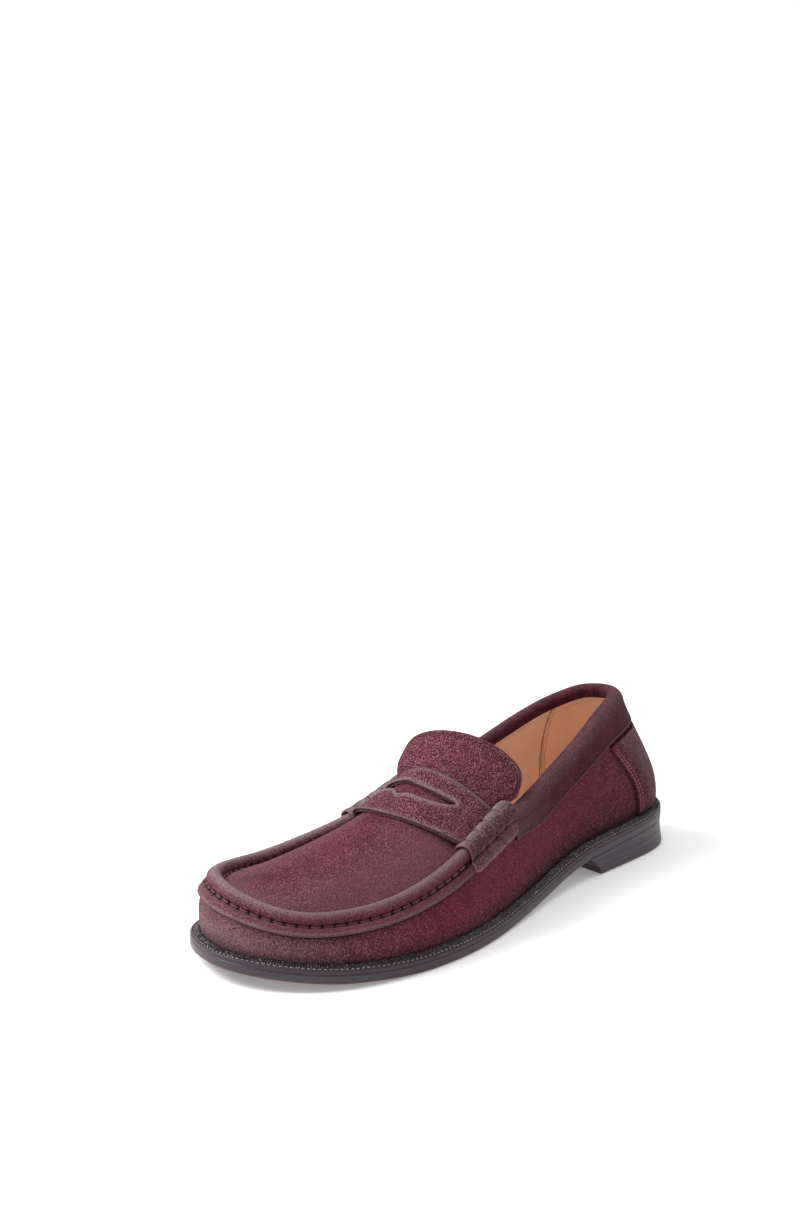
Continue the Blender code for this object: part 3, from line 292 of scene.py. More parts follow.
# ------------------------------------------------------------------ node material tools
class Mat:
    """A Principled material with a few short-hands for procedural nodes. Coordinates are the object's own, in mm."""

    def __init__(self, name, rough=0.8, metal=0.0, sheen=0.0, sheen_rough=0.5, tint=(1, 1, 1), spec=0.5, coat=0.0, coat_rough=0.2):
        self.m = bpy.data.materials.new(name)
        self.m.use_nodes = True
        self.t = self.m.node_tree
        self.b = self.t.nodes["Principled BSDF"]
        self.b.inputs["Roughness"].default_value = rough
        self.b.inputs["Metallic"].default_value = metal
        self.b.inputs["Sheen Weight"].default_value = sheen
        self.b.inputs["Sheen Roughness"].default_value = sheen_rough
        self.b.inputs["Sheen Tint"].default_value = (*tint, 1)
        self.b.inputs["Specular IOR Level"].default_value = spec
        self.b.inputs["Coat Weight"].default_value = coat
        self.b.inputs["Coat Roughness"].default_value = coat_rough
        tc = self.t.nodes.new("ShaderNodeTexCoord")
        mp = self.t.nodes.new("ShaderNodeMapping")
        mp.inputs["Scale"].default_value = (1000, 1000, 1000)
        self.t.links.new(tc.outputs["Object"], mp.inputs["Vector"])
        self.co = mp.outputs["Vector"]

    def put(self, socket, v):
        if isinstance(v, bpy.types.NodeSocket):
            self.t.links.new(v, socket)
        elif isinstance(v, (tuple, list)) and len(v) == 3 and socket.type == "RGBA":
            socket.default_value = (*v, 1)
        else:
            socket.default_value = v

    def noise(self, scale, detail=3.0, rough=0.6, distort=0.0, stretch=None, w=0.0):
        n = self.t.nodes.new("ShaderNodeTexNoise")
        src = self.co
        if stretch is not None or w:
            mp = self.t.nodes.new("ShaderNodeMapping")
            mp.inputs["Scale"].default_value = stretch or (1, 1, 1)
            mp.inputs["Location"].default_value = (w, w * 1.7, -w)
            self.t.links.new(src, mp.inputs["Vector"]); src = mp.outputs["Vector"]
        self.t.links.new(src, n.inputs["Vector"])
        n.inputs["Scale"].default_value = scale
        n.inputs["Detail"].default_value = detail
        n.inputs["Roughness"].default_value = rough
        n.inputs["Distortion"].default_value = distort
        return n.outputs["Fac"]

    def voronoi(self, scale, feature="F1"):
        n = self.t.nodes.new("ShaderNodeTexVoronoi")
        n.feature = feature
        self.t.links.new(self.co, n.inputs["Vector"])
        n.inputs["Scale"].default_value = scale
        return n.outputs["Distance"]

    def attr(self, name):
        n = self.t.nodes.new("ShaderNodeAttribute")
        n.attribute_name = name
        return n.outputs["Fac"]

    def ramp(self, fac, stops, smooth=False):
        n = self.t.nodes.new("ShaderNodeValToRGB")
        r = n.color_ramp
        r.interpolation = "EASE" if smooth else "LINEAR"
        while len(r.elements) < len(stops):
            r.elements.new(0.5)
        for e, (p, c) in zip(r.elements, stops):
            e.position = p
            e.color = (*c, 1) if isinstance(c, tuple) else (c, c, c, 1)
        self.put(n.inputs["Fac"], fac)
        return n.outputs["Color"]

    def math(self, op, a, b=0.0, clamp=False):
        n = self.t.nodes.new("ShaderNodeMath")
        n.operation = op
        n.use_clamp = clamp
        self.put(n.inputs[0], a); self.put(n.inputs[1], b)
        return n.outputs[0]

    def range(self, v, a, b, c=0.0, d=1.0):
        n = self.t.nodes.new("ShaderNodeMapRange")
        self.put(n.inputs["Value"], v)
        for k, x in zip(("From Min", "From Max", "To Min", "To Max"), (a, b, c, d)):
            n.inputs[k].default_value = x
        return n.outputs["Result"]

    def mix(self, fac, a, b, blend="MIX"):
        n = self.t.nodes.new("ShaderNodeMix")
        n.data_type = "RGBA"
        n.blend_type = blend
        self.put(n.inputs[0], fac)
        self.put(n.inputs[6], a); self.put(n.inputs[7], b)
        return n.outputs[2]

    def bump(self, height, strength, dist, normal=None):
        n = self.t.nodes.new("ShaderNodeBump")
        n.inputs["Strength"].default_value = strength
        n.inputs["Distance"].default_value = dist * 0.001
        self.put(n.inputs["Height"], height)
        if normal is not None:
            self.t.links.new(normal, n.inputs["Normal"])
        return n.outputs["Normal"]

    def done(self, colour, normal=None, rough=None):
        self.put(self.b.inputs["Base Color"], colour)
        if normal is not None:
            self.t.links.new(normal, self.b.inputs["Normal"])
        if rough is not None:
            self.put(self.b.inputs["Roughness"], rough)
        return self.m


def suede(name, deep, mid, pale, grain=1.6, contrast=0.16, streak=None, grey=0.25, grey_col=(0.15, 0.085, 0.095), rough=0.92,
          bump=0.5, worn=(0.235, 0.172, 0.186), edge_col=(0.050, 0.009, 0.015), seed=0.0, sheen=0.03, mottle=0.25, patch=0.35):
    """Brushed suede: soft mottling, brush strokes, fine speckled nap, greyer where it is rubbed and where a highlight
    is painted, darker where shade is painted: creases, stitch holes, under overlaps, near the welt and towards the
    outer side.
    """
    k = Mat(name, rough=rough, sheen=sheen, sheen_rough=0.35, tint=(1.0, 0.62, 0.68), spec=0.08)
    fine = k.noise(grain, 1.5, 0.6, 0.0, None, seed)
    mid_n = k.noise(0.34, 3.0, 0.6, 0.8, streak, seed + 3)
    big = k.noise(0.055, 3.0, 0.55, 0.6, None, seed + 9)
    f = k.math("ADD", fine, k.math("MULTIPLY", k.math("SUBTRACT", mid_n, 0.5), mottle))
    col = k.ramp(f, [(0.5 - 1.5 * contrast, deep), (0.5, mid), (0.5 + 1.5 * contrast, pale)])
    col = k.mix(k.range(big, 0.38, 0.66, 0.0, grey), col, grey_col)
    damp = k.noise(0.085, 3.0, 0.6, 1.2, None, seed + 17)
    col = k.mix(k.range(damp, 0.50, 0.66, 0.0, patch), col, (0.030, 0.005, 0.009))
    col = k.mix(k.range(damp, 0.46, 0.32, 0.0, patch * 0.7), col, (0.128, 0.020, 0.034))
    col = k.mix(k.math("MULTIPLY", k.attr("red"), 0.62), col, (0.150, 0.017, 0.036))
    # greyer where rubbed, and a painted highlight along the tops of the apron roll and the roll keepers
    col = k.mix(k.math("MULTIPLY", k.attr("wear"), k.range(f, 0.3, 0.62, 0.35, 0.95)), col, worn)
    col = k.mix(k.math("MULTIPLY", k.attr("edge"), 0.45), col, edge_col)
    # painted shade: darker in creases, stitch holes, under overlapping pieces, near the welt and towards the outer side
    col = k.mix(k.math("MULTIPLY", k.attr("dark"), 0.92, True), col, (0.012, 0.005, 0.007))
    n1 = k.bump(fine, bump, 0.35)
    n2 = k.bump(mid_n, 0.35, 0.5, n1)
    return k.done(col, n2, k.range(fine, 0.2, 0.8, rough - 0.12, min(rough + 0.06, 1.0)))


def smooth_leather(name, a, b, rough=0.5, pore=1.3, bump=0.2, sheen=0.0, spec=0.35, seam=(0.2, 0.08, 0.04), coat=0.0):
    k = Mat(name, rough=rough, sheen=sheen, spec=spec, coat=coat)
    n = k.noise(0.06, 3, 0.5, 0.5); f = k.noise(pore, 3, 0.6)
    col = k.mix(k.range(n, 0.35, 0.65), a, b)
    col = k.mix(k.range(f, 0.25, 0.5, 0.22, 0.0), col, seam)
    col = k.mix(k.math("MULTIPLY", k.attr("wear"), 0.6), col, tuple(min(1.0, c * 1.25) for c in b))
    col = k.mix(k.math("MULTIPLY", k.attr("dark"), 0.85, True), col, seam)
    col = k.mix(k.math("MULTIPLY", k.attr("edge"), 0.35), col, seam)
    v = k.voronoi(pore * 1.1)
    nr = k.bump(k.math("ADD", k.math("MULTIPLY", v, 0.4), f), bump, 0.2)
    return k.done(col, nr, k.range(f, 0.2, 0.8, rough - 0.08, rough + 0.1))


BUR = dict(deep=(0.018, 0.002, 0.005), mid=(0.080, 0.0125, 0.0215), pale=(0.23, 0.100, 0.120))
M_WALL = suede("suede_wall", **BUR, grain=1.75, contrast=0.098, streak=(1.0, 1.0, 0.45), grey=0.12, grey_col=(0.070, 0.022, 0.031), bump=0.9, seed=2.0, patch=0.42, mottle=0.18)
M_APRON = suede("suede_apron", (0.026, 0.003, 0.007), (0.084, 0.0145, 0.024), (0.21, 0.085, 0.102), grain=1.75, contrast=0.100, grey=0.28,
                grey_col=(0.100, 0.028, 0.038), bump=0.7, seed=5.0, patch=0.38, mottle=0.12)
M_STRAP = suede("suede_strap", (0.012, 0.0015, 0.003), (0.070, 0.0110, 0.0190), (0.28, 0.128, 0.149), grain=1.7, contrast=0.110, grey=0.12, bump=1.1, seed=8.0, patch=0.22, mottle=0.18)
M_TONGUE = suede("suede_tongue", (0.018, 0.002, 0.005), (0.084, 0.0145, 0.025), (0.27, 0.125, 0.145), grain=1.75, contrast=0.108, grey=0.2, grey_col=(0.105, 0.032, 0.043), bump=0.9, seed=11.0, patch=0.30, mottle=0.18)
# the collar suede is a much darker copy of the wall suede: painted shade for the heel side, away from the key lamp
M_COLLAR_SHADED = suede("suede_collar", (0.010, 0.0012, 0.003), (0.033, 0.0050, 0.0095), (0.100, 0.036, 0.046), grain=1.75, contrast=0.110, grey=0.30,
                 grey_col=(0.043, 0.015, 0.021), bump=0.6, seed=14.0, rough=0.85, patch=0.40, mottle=0.18)
M_STAY = suede("suede_stay", (0.014, 0.002, 0.004), (0.062, 0.010, 0.018), (0.19, 0.092, 0.107), grain=1.75, contrast=0.115, grey=0.30,
               grey_col=(0.068, 0.030, 0.038), bump=0.8, seed=17.0, patch=0.40, mottle=0.18)
M_ROLL = suede("waxed_suede", (0.014, 0.005, 0.007), (0.052, 0.021, 0.028), (0.24, 0.165, 0.185), grain=1.5, contrast=0.14, grey=0.35,
               grey_col=(0.040, 0.022, 0.027), bump=0.9, seed=20.0, rough=0.55, worn=(0.30, 0.22, 0.24), edge_col=(0.24, 0.09, 0.11), sheen=0.05, mottle=0.4, patch=0.2)
SUEDES = (M_WALL, M_APRON, M_STRAP, M_TONGUE, M_COLLAR_SHADED, M_STAY, M_ROLL)
# the tan lining is coloured lighter than the leather to offset the shade inside the shoe: painted light
M_TAN = smooth_leather("tan_lining", (0.72, 0.465, 0.315), (0.77, 0.525, 0.365), rough=0.55, pore=2.2, bump=0.15, seam=(0.26, 0.08, 0.04))
M_SOCK = smooth_leather("sock_leather", (0.78, 0.53, 0.45), (0.84, 0.60, 0.52), rough=0.5, pore=2.0, bump=0.1, seam=(0.5, 0.3, 0.22))


def edge_material():
    """Burnished sole edge: even aubergine grey, a faint horizontal polish, a red-brown line at the very bottom, bare leather below."""
    k = Mat("sole_leather", rough=0.46, spec=0.34, coat=0.05, coat_rough=0.3)
    s = k.noise(0.5, 3, 0.5, 0.3, (0.12, 0.12, 0.8)); f = k.noise(2.6, 3, 0.6)
    col = k.ramp(k.math("ADD", k.math("MULTIPLY", s, 0.7), k.math("MULTIPLY", f, 0.3)), [(0.2, (0.034, 0.0220, 0.030)), (0.55, (0.038, 0.0255, 0.034)), (0.9, (0.045, 0.030, 0.040))])
    col = k.mix(k.attr("wear"), col, (0.10, 0.078, 0.09))
    col = k.mix(k.attr("red"), col, (0.095, 0.034, 0.030))
    col = k.mix(k.math("MULTIPLY", k.attr("dark"), 0.9, True), col, (0.012, 0.009, 0.011))
    nr = k.bump(s, 0.05, 0.2, k.bump(f, 0.08, 0.1))
    return k.done(col, nr, k.range(s, 0.3, 0.7, 0.34, 0.5))


def welt_material():
    """Welt: edge finish on its side, near-black waxed ribs on top, with a painted highlight on their crowns and painted
    pale glints.
    """
    k = Mat("welt_leather", rough=0.5, spec=0.28)
    f = k.noise(2.2, 3, 0.6); s = k.noise(0.5, 3, 0.5, 0.3, (0.12, 0.12, 0.8))
    side = k.ramp(k.math("ADD", k.math("MULTIPLY", s, 0.7), k.math("MULTIPLY", f, 0.3)), [(0.2, (0.034, 0.0220, 0.030)), (0.55, (0.038, 0.0255, 0.034)), (0.9, (0.045, 0.030, 0.040))])
    top = k.mix(k.range(f, 0.35, 0.7), (0.004, 0.003, 0.004), (0.013, 0.009, 0.012))
    # painted highlights: a lighter band on every rib crown and pale glints on random crowns
    glint = k.math("MULTIPLY", k.math("GREATER_THAN", k.noise(1.5, 2, 0.5, 0.0, None, 31.0), 0.60), k.attr("crown"))
    top = k.mix(k.math("MULTIPLY", k.attr("crown"), 0.6), top, (0.052, 0.040, 0.046))
    top = k.mix(k.math("MULTIPLY", glint, 0.85), top, (0.42, 0.36, 0.38))
    col = k.mix(k.attr("top"), side, top)
    return k.done(col, k.bump(f, 0.12, 0.1), k.range(f, 0.2, 0.8, 0.36, 0.55))


def thread_material(name, a, b):
    k = Mat(name, rough=0.7, sheen=0.2, spec=0.3)
    w = k.t.nodes.new("ShaderNodeTexWave")
    w.wave_type, w.bands_direction = "BANDS", "DIAGONAL"
    w.inputs["Scale"].default_value = 1.6
    w.inputs["Distortion"].default_value = 1.5
    k.t.links.new(k.co, w.inputs["Vector"])
    f = k.noise(3.0, 2, 0.5)
    col = k.mix(k.range(f, 0.3, 0.7), a, b)
    col = k.mix(k.math("MULTIPLY", w.outputs["Fac"], 0.35), col, tuple(c * 0.45 for c in a))
    return k.done(col, k.bump(w.outputs["Fac"], 0.5, 0.12))


def simple(name, a, b, scale, rough, metal=0.0, bump=0.3, spec=0.4, stretch=None):
    k = Mat(name, rough=rough, metal=metal, spec=spec)
    n = k.noise(scale, 4, 0.65, 0.2, stretch); f = k.noise(scale * 6, 2, 0.5)
    col = k.mix(k.range(n, 0.35, 0.65), a, b)
    col = k.mix(k.range(f, 0.3, 0.45, 0.3, 0.0), col, tuple(c * 0.5 for c in a))
    return k.done(col, k.bump(k.math("ADD", n, k.math("MULTIPLY", f, 0.4)), bump, 0.3), k.range(n, 0.3, 0.7, max(rough - 0.1, 0.05), min(1.0, rough + 0.1)))


M_EDGE = edge_material()
M_WELT = welt_material()
M_STITCH = thread_material("thread_burgundy", (0.13, 0.040, 0.052), (0.22, 0.09, 0.105))
M_STITCH_STAY = thread_material("thread_rose", (0.22, 0.095, 0.11), (0.34, 0.17, 0.19))
M_STITCH_PALE = thread_material("thread_pale", (0.30, 0.20, 0.21), (0.44, 0.32, 0.33))
M_STITCH_DARK = thread_material("thread_dark", (0.10, 0.060, 0.068), (0.20, 0.14, 0.15))
M_STITCH_TAN = thread_material("thread_tan", (0.60, 0.30, 0.19), (0.72, 0.42, 0.30))
M_RUBBER = simple("heel_rubber", (0.028, 0.022, 0.026), (0.045, 0.036, 0.041), 0.9, 0.6)
M_BOARD = simple("fibre_board", (0.50, 0.37, 0.22), (0.40, 0.28, 0.16), 0.35, 0.9, bump=0.4)
M_CORK = simple("cork", (0.52, 0.34, 0.19), (0.34, 0.20, 0.10), 0.6, 0.95, bump=0.8)
M_STEEL = simple("shank_steel", (0.56, 0.57, 0.60), (0.66, 0.67, 0.69), 0.4, 0.32, metal=1.0, bump=0.1, stretch=(0.1, 3, 1))
M_BRASS = simple("nail_brass", (0.66, 0.47, 0.19), (0.78, 0.58, 0.27), 0.8, 0.34, metal=1.0, bump=0.1)
M_CORD = thread_material("cord", (0.50, 0.42, 0.30), (0.62, 0.53, 0.40))


# ------------------------------------------------------------------ mesh tools
def smooth01(x, a, b):
    t = np.clip((np.asarray(x, float) - a) / (b - a), 0, 1)
    return t * t * (3 - 2 * t)


def bell(x, w):
    return np.exp(-(np.asarray(x, float) / w)**2)


def wobble(p, size, seed=0.0):
    """Smooth, repeatable unevenness of a surface, about -1..1, from points in mm."""
    x, y, z = p[..., 0] / size, p[..., 1] / size, p[..., 2] / size
    return (np.sin(x * 1.7 + 2.1 * np.sin(y * 1.3 + seed) + seed) * np.cos(z * 1.9 - seed * 1.3 + 1.4 * np.sin(x * 0.9))
            + 0.6 * np.sin(y * 3.1 - z * 2.3 + seed * 2.0) * np.cos(x * 2.7 + seed)) / 1.6


def finish_mesh(name, verts, faces, mat, attrs, body, nodes, mats=()):
    me = bpy.data.meshes.new(name)
    me.from_pydata(m_(verts).tolist(), [], faces)
    me.materials.append(mat)
    for k, v in attrs.items():
        a = me.attributes.new(k, "FLOAT", "POINT")
        a.data.foreach_set("value", np.asarray(v, np.float32))
    me.shade_smooth()
    me.update()
    o = bpy.data.objects.new(name, me)
    bpy.context.scene.collection.objects.link(o)
    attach(o, body)
    if nodes:
        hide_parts(*nodes)
    return o


def grid_faces(nu, nv, close_u=False, ids=None):
    ids = np.arange(nu * nv).reshape(nu, nv) if ids is None else ids
    nxt = np.roll(ids, -1, 0) if close_u else ids[1:]
    cur = ids if close_u else ids[:-1]
    F = np.stack([cur[:, :-1], nxt[:, :-1], nxt[:, 1:], cur[:, 1:]], -1).reshape(-1, 4)
    return [tuple(dict.fromkeys(f)) for f in F.tolist()]


def panel(name, O, I, faces, mat, body, nodes, attrs=None, bulge=0.8, rim=4, edge_reach=0.9, flip=False):
    """A leather piece with real thickness: outer points O, inner points I, the same faces on both, and a rounded cut edge between them."""
    O, I = np.asarray(O, float).reshape(-1, 3), np.asarray(I, float).reshape(-1, 3)
    N = len(O)
    if flip:
        faces = [f[::-1] for f in faces]
    ends = {}
    for f in faces:
        for a, b in zip(f, f[1:] + f[:1]):
            ends[(a, b)] = True
    bd = [(a, b) for a, b in ends if (b, a) not in ends]
    order = sorted(set(a for e in bd for a in e))
    pos = {a: k for k, a in enumerate(order)}
    bd_i = np.array(bd)
    e = O[bd_i[:, 1]] - O[bd_i[:, 0]]
    n = (O - I)[bd_i[:, 0]] + (O - I)[bd_i[:, 1]]
    d = unit(np.cross(e, n))
    D = np.zeros((len(order), 3))
    for c in (0, 1):
        np.add.at(D, [pos[a] for a in bd_i[:, c]], d)
    D = unit(D)
    Ob, Ib = O[order], I[order]
    half = np.linalg.norm(Ob - Ib, axis=1, keepdims=True) / 2
    V = [O, I]
    for j in range(1, rim + 1):
        th = math.pi * j / (rim + 1)
        V.append((Ob + Ib) / 2 + (Ob - Ib) / 2 * math.cos(th) + D * half * bulge * math.sin(th))
    used = np.zeros(N, bool); used[np.array([a for f in faces for a in f])] = True
    F = list(faces) + [tuple(a + N for a in f[::-1]) for f in faces]
    for a, b in bd:
        pa, pb = pos[a], pos[b]
        ra = [a] + [2 * N + j * len(order) + pa for j in range(rim)] + [a + N]
        rb = [b] + [2 * N + j * len(order) + pb for j in range(rim)] + [b + N]
        for j in range(rim + 1):
            F.append((rb[j], ra[j], ra[j + 1], rb[j + 1]))
    V = np.concatenate(V)
    kd = kdtree.KDTree(len(order))
    for k, p in enumerate(Ob):
        kd.insert(p, k)
    kd.balance()
    dist = np.array([kd.find(p)[2] for p in O])
    nr = rim * len(order)
    edge = np.r_[np.clip(1 - dist / edge_reach, 0, 1)**2 * 0.7, np.full(N, 0.3), np.full(nr, 1.0)]
    out = {"edge": edge}
    for k in ("wear", "dark", "red"):
        a = np.asarray((attrs or {}).get(k, np.zeros(N)), float).reshape(-1)
        if k == "dark" and mat in SUEDES:          # painted shade: suede is darkened towards the outer (+y) side, away from the key lamp
            a = np.clip(a + 0.17 * smooth01(O[:, 1], -2.0, 34.0), 0, 1)
        out[k] = np.r_[a, a * 0.5, np.tile(a[order], rim)]
    # drop points that no face uses
    keep = np.ones(len(V), bool); keep[:N] = used; keep[N:2 * N] = used
    new = np.cumsum(keep) - 1
    F = [tuple(int(new[a]) for a in f) for f in F]
    return finish_mesh(name, V[keep], F, mat, {k: v[keep] for k, v in out.items()}, body, nodes)


def tube(rings):
    """Faces of closed rings bridged in order with flat end fans. rings: (n, k, 3)."""
    n, k = rings.shape[:2]
    F = []
    for i in range(n - 1):
        for j in range(k):
            a, b = i * k + j, i * k + (j + 1) % k
            F.append((a, b, b + k, a + k))
    F.append(tuple(range(k))[::-1]); F.append(tuple((n - 1) * k + j for j in range(k)))
    return F


def cords(name, paths, r, mat, body, nodes, sides=8, flat=1.0, dark=0.0, taper=True):
    """Short threads, each a closed tube along its own path (list of (n, 3) arrays in mm)."""
    V, F, base = [], [], 0
    for P in paths:
        P = np.asarray(P, float); n = len(P)
        T = unit(np.gradient(P, axis=0))
        ref = np.array([0.0, 0.0, 1.0]) if abs(T[:, 2]).max() < 0.9 else np.array([1.0, 0.0, 0.0])
        A = unit(np.cross(T, ref)); B = unit(np.cross(T, A))
        th = np.linspace(0, 2 * math.pi, sides, endpoint=False)
        rr = np.full(n, r)
        if taper:
            rr[0] = rr[-1] = r * 0.45
        R = P[:, None] + rr[:, None, None] * (A[:, None] * np.cos(th)[:, None] + B[:, None] * np.sin(th)[:, None] * flat)
        V.append(R.reshape(-1, 3))
        F += [tuple(a + base for a in f) for f in tube(R)]
        base += n * sides
    V = np.concatenate(V)
    z = np.zeros(len(V))
    return finish_mesh(name, V, F, mat, {"edge": z, "wear": z, "dark": z + dark, "red": z}, body, nodes)


def arc_table(fn, s0, s1, n=2401):
    s = np.linspace(s0, s1, n); p = fn(s)
    return s, np.r_[0, np.cumsum(np.linalg.norm(np.diff(p, axis=0), axis=1))]


# ------------------------------------------------------------------ upper wall
def flange_t(s):
    p0, p1, p2, p3 = handles(s)
    L = np.linalg.norm(p3 - p2, axis=-1) + 1e-6
    return 1 - np.minimum(0.3, FLANGE_W / (3 * L))


S_W = np.linspace(0, PER, 1101)[:-1]
T_W = np.linspace(0, 1, 64)
s, t = np.meshgrid(S_W, T_W, indexing="ij")
base = wall(s, t)
fade = smooth01(t, 0.06, 0.25) * (1 - smooth01(t, 0.62, 0.86))
und = (0.16 * wobble(base, 13.0, 1.0) + 0.07 * wobble(base, 5.0, 4.0)) * fade
W_O, W_I = wall_n(s, t, und), wall_n(s, t, und - UPPER_T)
def under(inset, z):
    p = sole(S_W, np.full(len(S_W), float(inset)))
    return np.c_[p, f_zb(p[:, 0]) + z][:, None]
zm = OUTSOLE_T + GAP
W_O = np.concatenate([under(15.5, zm), under(9.0, zm), under(6.2, zm + 0.1), W_O], 1)
W_I = np.concatenate([under(15.5, zm + UPPER_T), under(9.6, zm + UPPER_T), under(7.3, zm + UPPER_T + 0.2), W_I], 1)
i_w = to_i(s)
front = smooth01(i_w, 7.2, 8.2) * (1 - smooth01(i_w, 18.3, 19.4))
tfl = flange_t(s)
# painted shade: darker where the wall meets the welt and on its margin tucked under the sole, darker at the heel end,
# and a painted shadow line just under the apron's flange
dark = 0.62 * (1 - smooth01(t, 0.02, 0.15)) + 0.28 * (1 - smooth01(t, 0.10, 0.42)) + 0.14 * (1 - smooth01(i_w, 3.5, 6.5)) + 0.90 * front * bell((t - tfl + 0.012) / 0.030, 1.0) * (t <= 1)
side = smooth01(i_w, 1.0, 4.5) * (1 - smooth01(i_w, 8.5, 11.5)) + smooth01(i_w, 17.5, 20) * (1 - smooth01(i_w, 22.0, 25.5))
# redder on the quarters: partly the suede's deeper red, partly painted light that lifts the outer side, which faces
# away from the key lamp
red = 0.75 * side * smooth01(t, 0.1, 0.35)
toe = smooth01(i_w, 10.0, 12.5) * (1 - smooth01(i_w, 14.5, 17.0))
wear = 0.34 * toe * bell(t - 0.35, 0.40) + 0.10 * (1 - side)
pad3 = lambda a, v: np.concatenate([np.full((a.shape[0], 3), v), a], 1)
panel("upper_wall", W_O, W_I, grid_faces(len(S_W), len(T_W) + 3, close_u=True), M_WALL, "shoe", ["vamp_wall"],
      {"dark": pad3(dark, 0.8), "red": pad3(red, 0.0), "wear": pad3(wear, 0.0)})

# ------------------------------------------------------------------ apron with rolled edge, stitched crease and flange
AP_REAR = 6.98
ROLL_F_L, ROLL_R_L = 7.90, 6.60
ROLL_F_M, ROLL_R_M = 18.88, 20.20
_j = np.linspace(13.5, 20.3, 6001)
def across_v(i):
    return np.interp(-f_cx(i), -f_cx2(_j), _j)
n_half = 390
S_L = np.linspace(st(AP_REAR), st(13.5), n_half)
I_L = to_i(S_L)
I_M = across_v(I_L[::-1])
S_A = np.r_[S_L, st(I_M)[1:]] if abs(I_M[0] - 13.5) < 1e-3 else np.r_[S_L, st(I_M)]
nA = len(S_A)
# stitch positions, evenly spaced along the seam itself
seam_s, seam_L = arc_table(lambda q: wall_n(q, np.full(len(q), 0.985), 2.2), st(ROLL_F_L) + 0.8, st(ROLL_F_M) - 0.8)
PITCH = 5.4
n_st = int(seam_L[-1] // PITCH)
hole_L = (np.arange(n_st) + 0.5) * (seam_L[-1] / n_st)
hole_s = np.interp(hole_L, seam_L, seam_s)
L_A = np.interp(S_A, seam_s, seam_L)
near = np.abs(L_A[:, None] - hole_L[None]).min(1)
on_seam = smooth01(S_A, seam_s[0] - 1, seam_s[0] + 1) * (1 - smooth01(S_A, seam_s[-1] - 1, seam_s[-1] + 1))
pinch = bell(near, 0.85) * on_seam
pillow = (0.5 - 0.5 * np.cos(2 * math.pi * L_A / (seam_L[-1] / n_st))) * on_seam   # full between stitches, none at them

V_A = np.r_[np.linspace(0, 0.9, 34), np.linspace(0.925, 1.0, 5)]
ANG = np.linspace(198, -28, 40)
W_F = np.linspace(0, 1, 12)
cols_O, cols_I, a_dark, a_wear_and_highlight = [], [], [], []
c0 = ridge_pt(S_A, -2.9, 2.6); n2 = out_normal(f_top, S_A)
n3 = np.concatenate([n2, np.zeros((nA, 1))], 1); up3 = np.array([0, 0, 1.0])
for v in V_A:
    sink = 0.70 * bell(v - 1.0, 0.024)
    p = arch(S_A, np.full(nA, v), 0.0)
    u = 0.14 * wobble(p, 16.0, 2.0) + 0.05 * wobble(p, 6.0, 7.0)
    u = u * smooth01(v, 0.05, 0.2) * (1 - smooth01(v, 0.8, 0.95)) - sink - 0.45 * bell(v - 1.0, 0.03) * pinch
    cols_O.append(arch(S_A, np.full(nA, v), u)); cols_I.append(arch(S_A, np.full(nA, v), u - APRON_T))
    # painted shade in the crease at the foot of the roll and in its stitch holes
    a_dark.append(0.85 * bell(v - 1.0, 0.020) + 1.0 * bell(v - 1.0, 0.045) * bell(near, 1.15) * on_seam + 0 * S_A)
    a_wear_and_highlight.append(0.25 * smooth01(v, 0.0, 0.9) + 0 * S_A)
for a in ANG:
    out_base = bell(a + 22, 34); in_base = bell(a - 198, 22)
    r = RIDGE_R - 0.62 * out_base * pinch + 0.22 * bell(a - 16, 34) * pillow - 0.45 * in_base * pinch + 0.07 * wobble(c0, 7.0, 3.0) + 0.06 * wobble(c0, 1.6, 5.0) * bell(a - 60, 70)
    r = r - 0.10 * bell(a + 28, 12)
    ca, sa = math.cos(math.radians(a)), math.sin(math.radians(a))
    cols_O.append(c0 + (n3 * ca + up3 * sa) * r[:, None])
    cols_I.append(c0 + (n3 * ca + up3 * sa) * (r - APRON_T)[:, None])
    # painted shade in the creases either side of the roll and in its two rows of stitch holes
    a_dark.append(0.6 * bell(a - 198, 10) + 1.0 * bell(a - 186, 24) * bell(near, 1.1) * on_seam + 0.72 * bell(a + 28, 8) + 1.0 * bell(a + 20, 12) * bell(near, 1.15) * on_seam + 0 * S_A)
    # greyer along the top of the roll: burnished nap and a painted highlight
    a_wear_and_highlight.append(0.95 * bell(a - 88, 50) + 0 * S_A)
ft = flange_t(S_A)
for w in W_F:
    tt = 0.985 + (ft - 0.985) * w
    off = 1.62 + 0.55 * smooth01(w, 0.0, 0.32) + 0.25 * smooth01(w, 0.6, 1.0) - 0.42 * bell(w, 0.28) * pinch + 0.10 * pillow * bell(w - 0.3, 0.25)
    cols_O.append(wall_n(S_A, tt, off)); cols_I.append(wall_n(S_A, tt, off - 1.45))
    # painted shade in the crease where the flange leaves the roll and in its stitch holes
    a_dark.append(0.62 * bell(w, 0.10) + 1.0 * bell(w, 0.13) * bell(near, 0.95) * on_seam + 0 * S_A)
    # paler lower edge of the flange: its lighter cut edge and a painted highlight
    a_wear_and_highlight.append(0.20 + 0.65 * smooth01(w, 0.72, 0.98) + 0 * S_A)
G_O, G_I = np.stack(cols_O, 1), np.stack(cols_I, 1)
nv = G_O.shape[1]
ids = np.arange(nA * nv).reshape(nA, nv)
ids[nA - 1 - np.arange(nA // 2), 0] = ids[np.arange(nA // 2), 0]
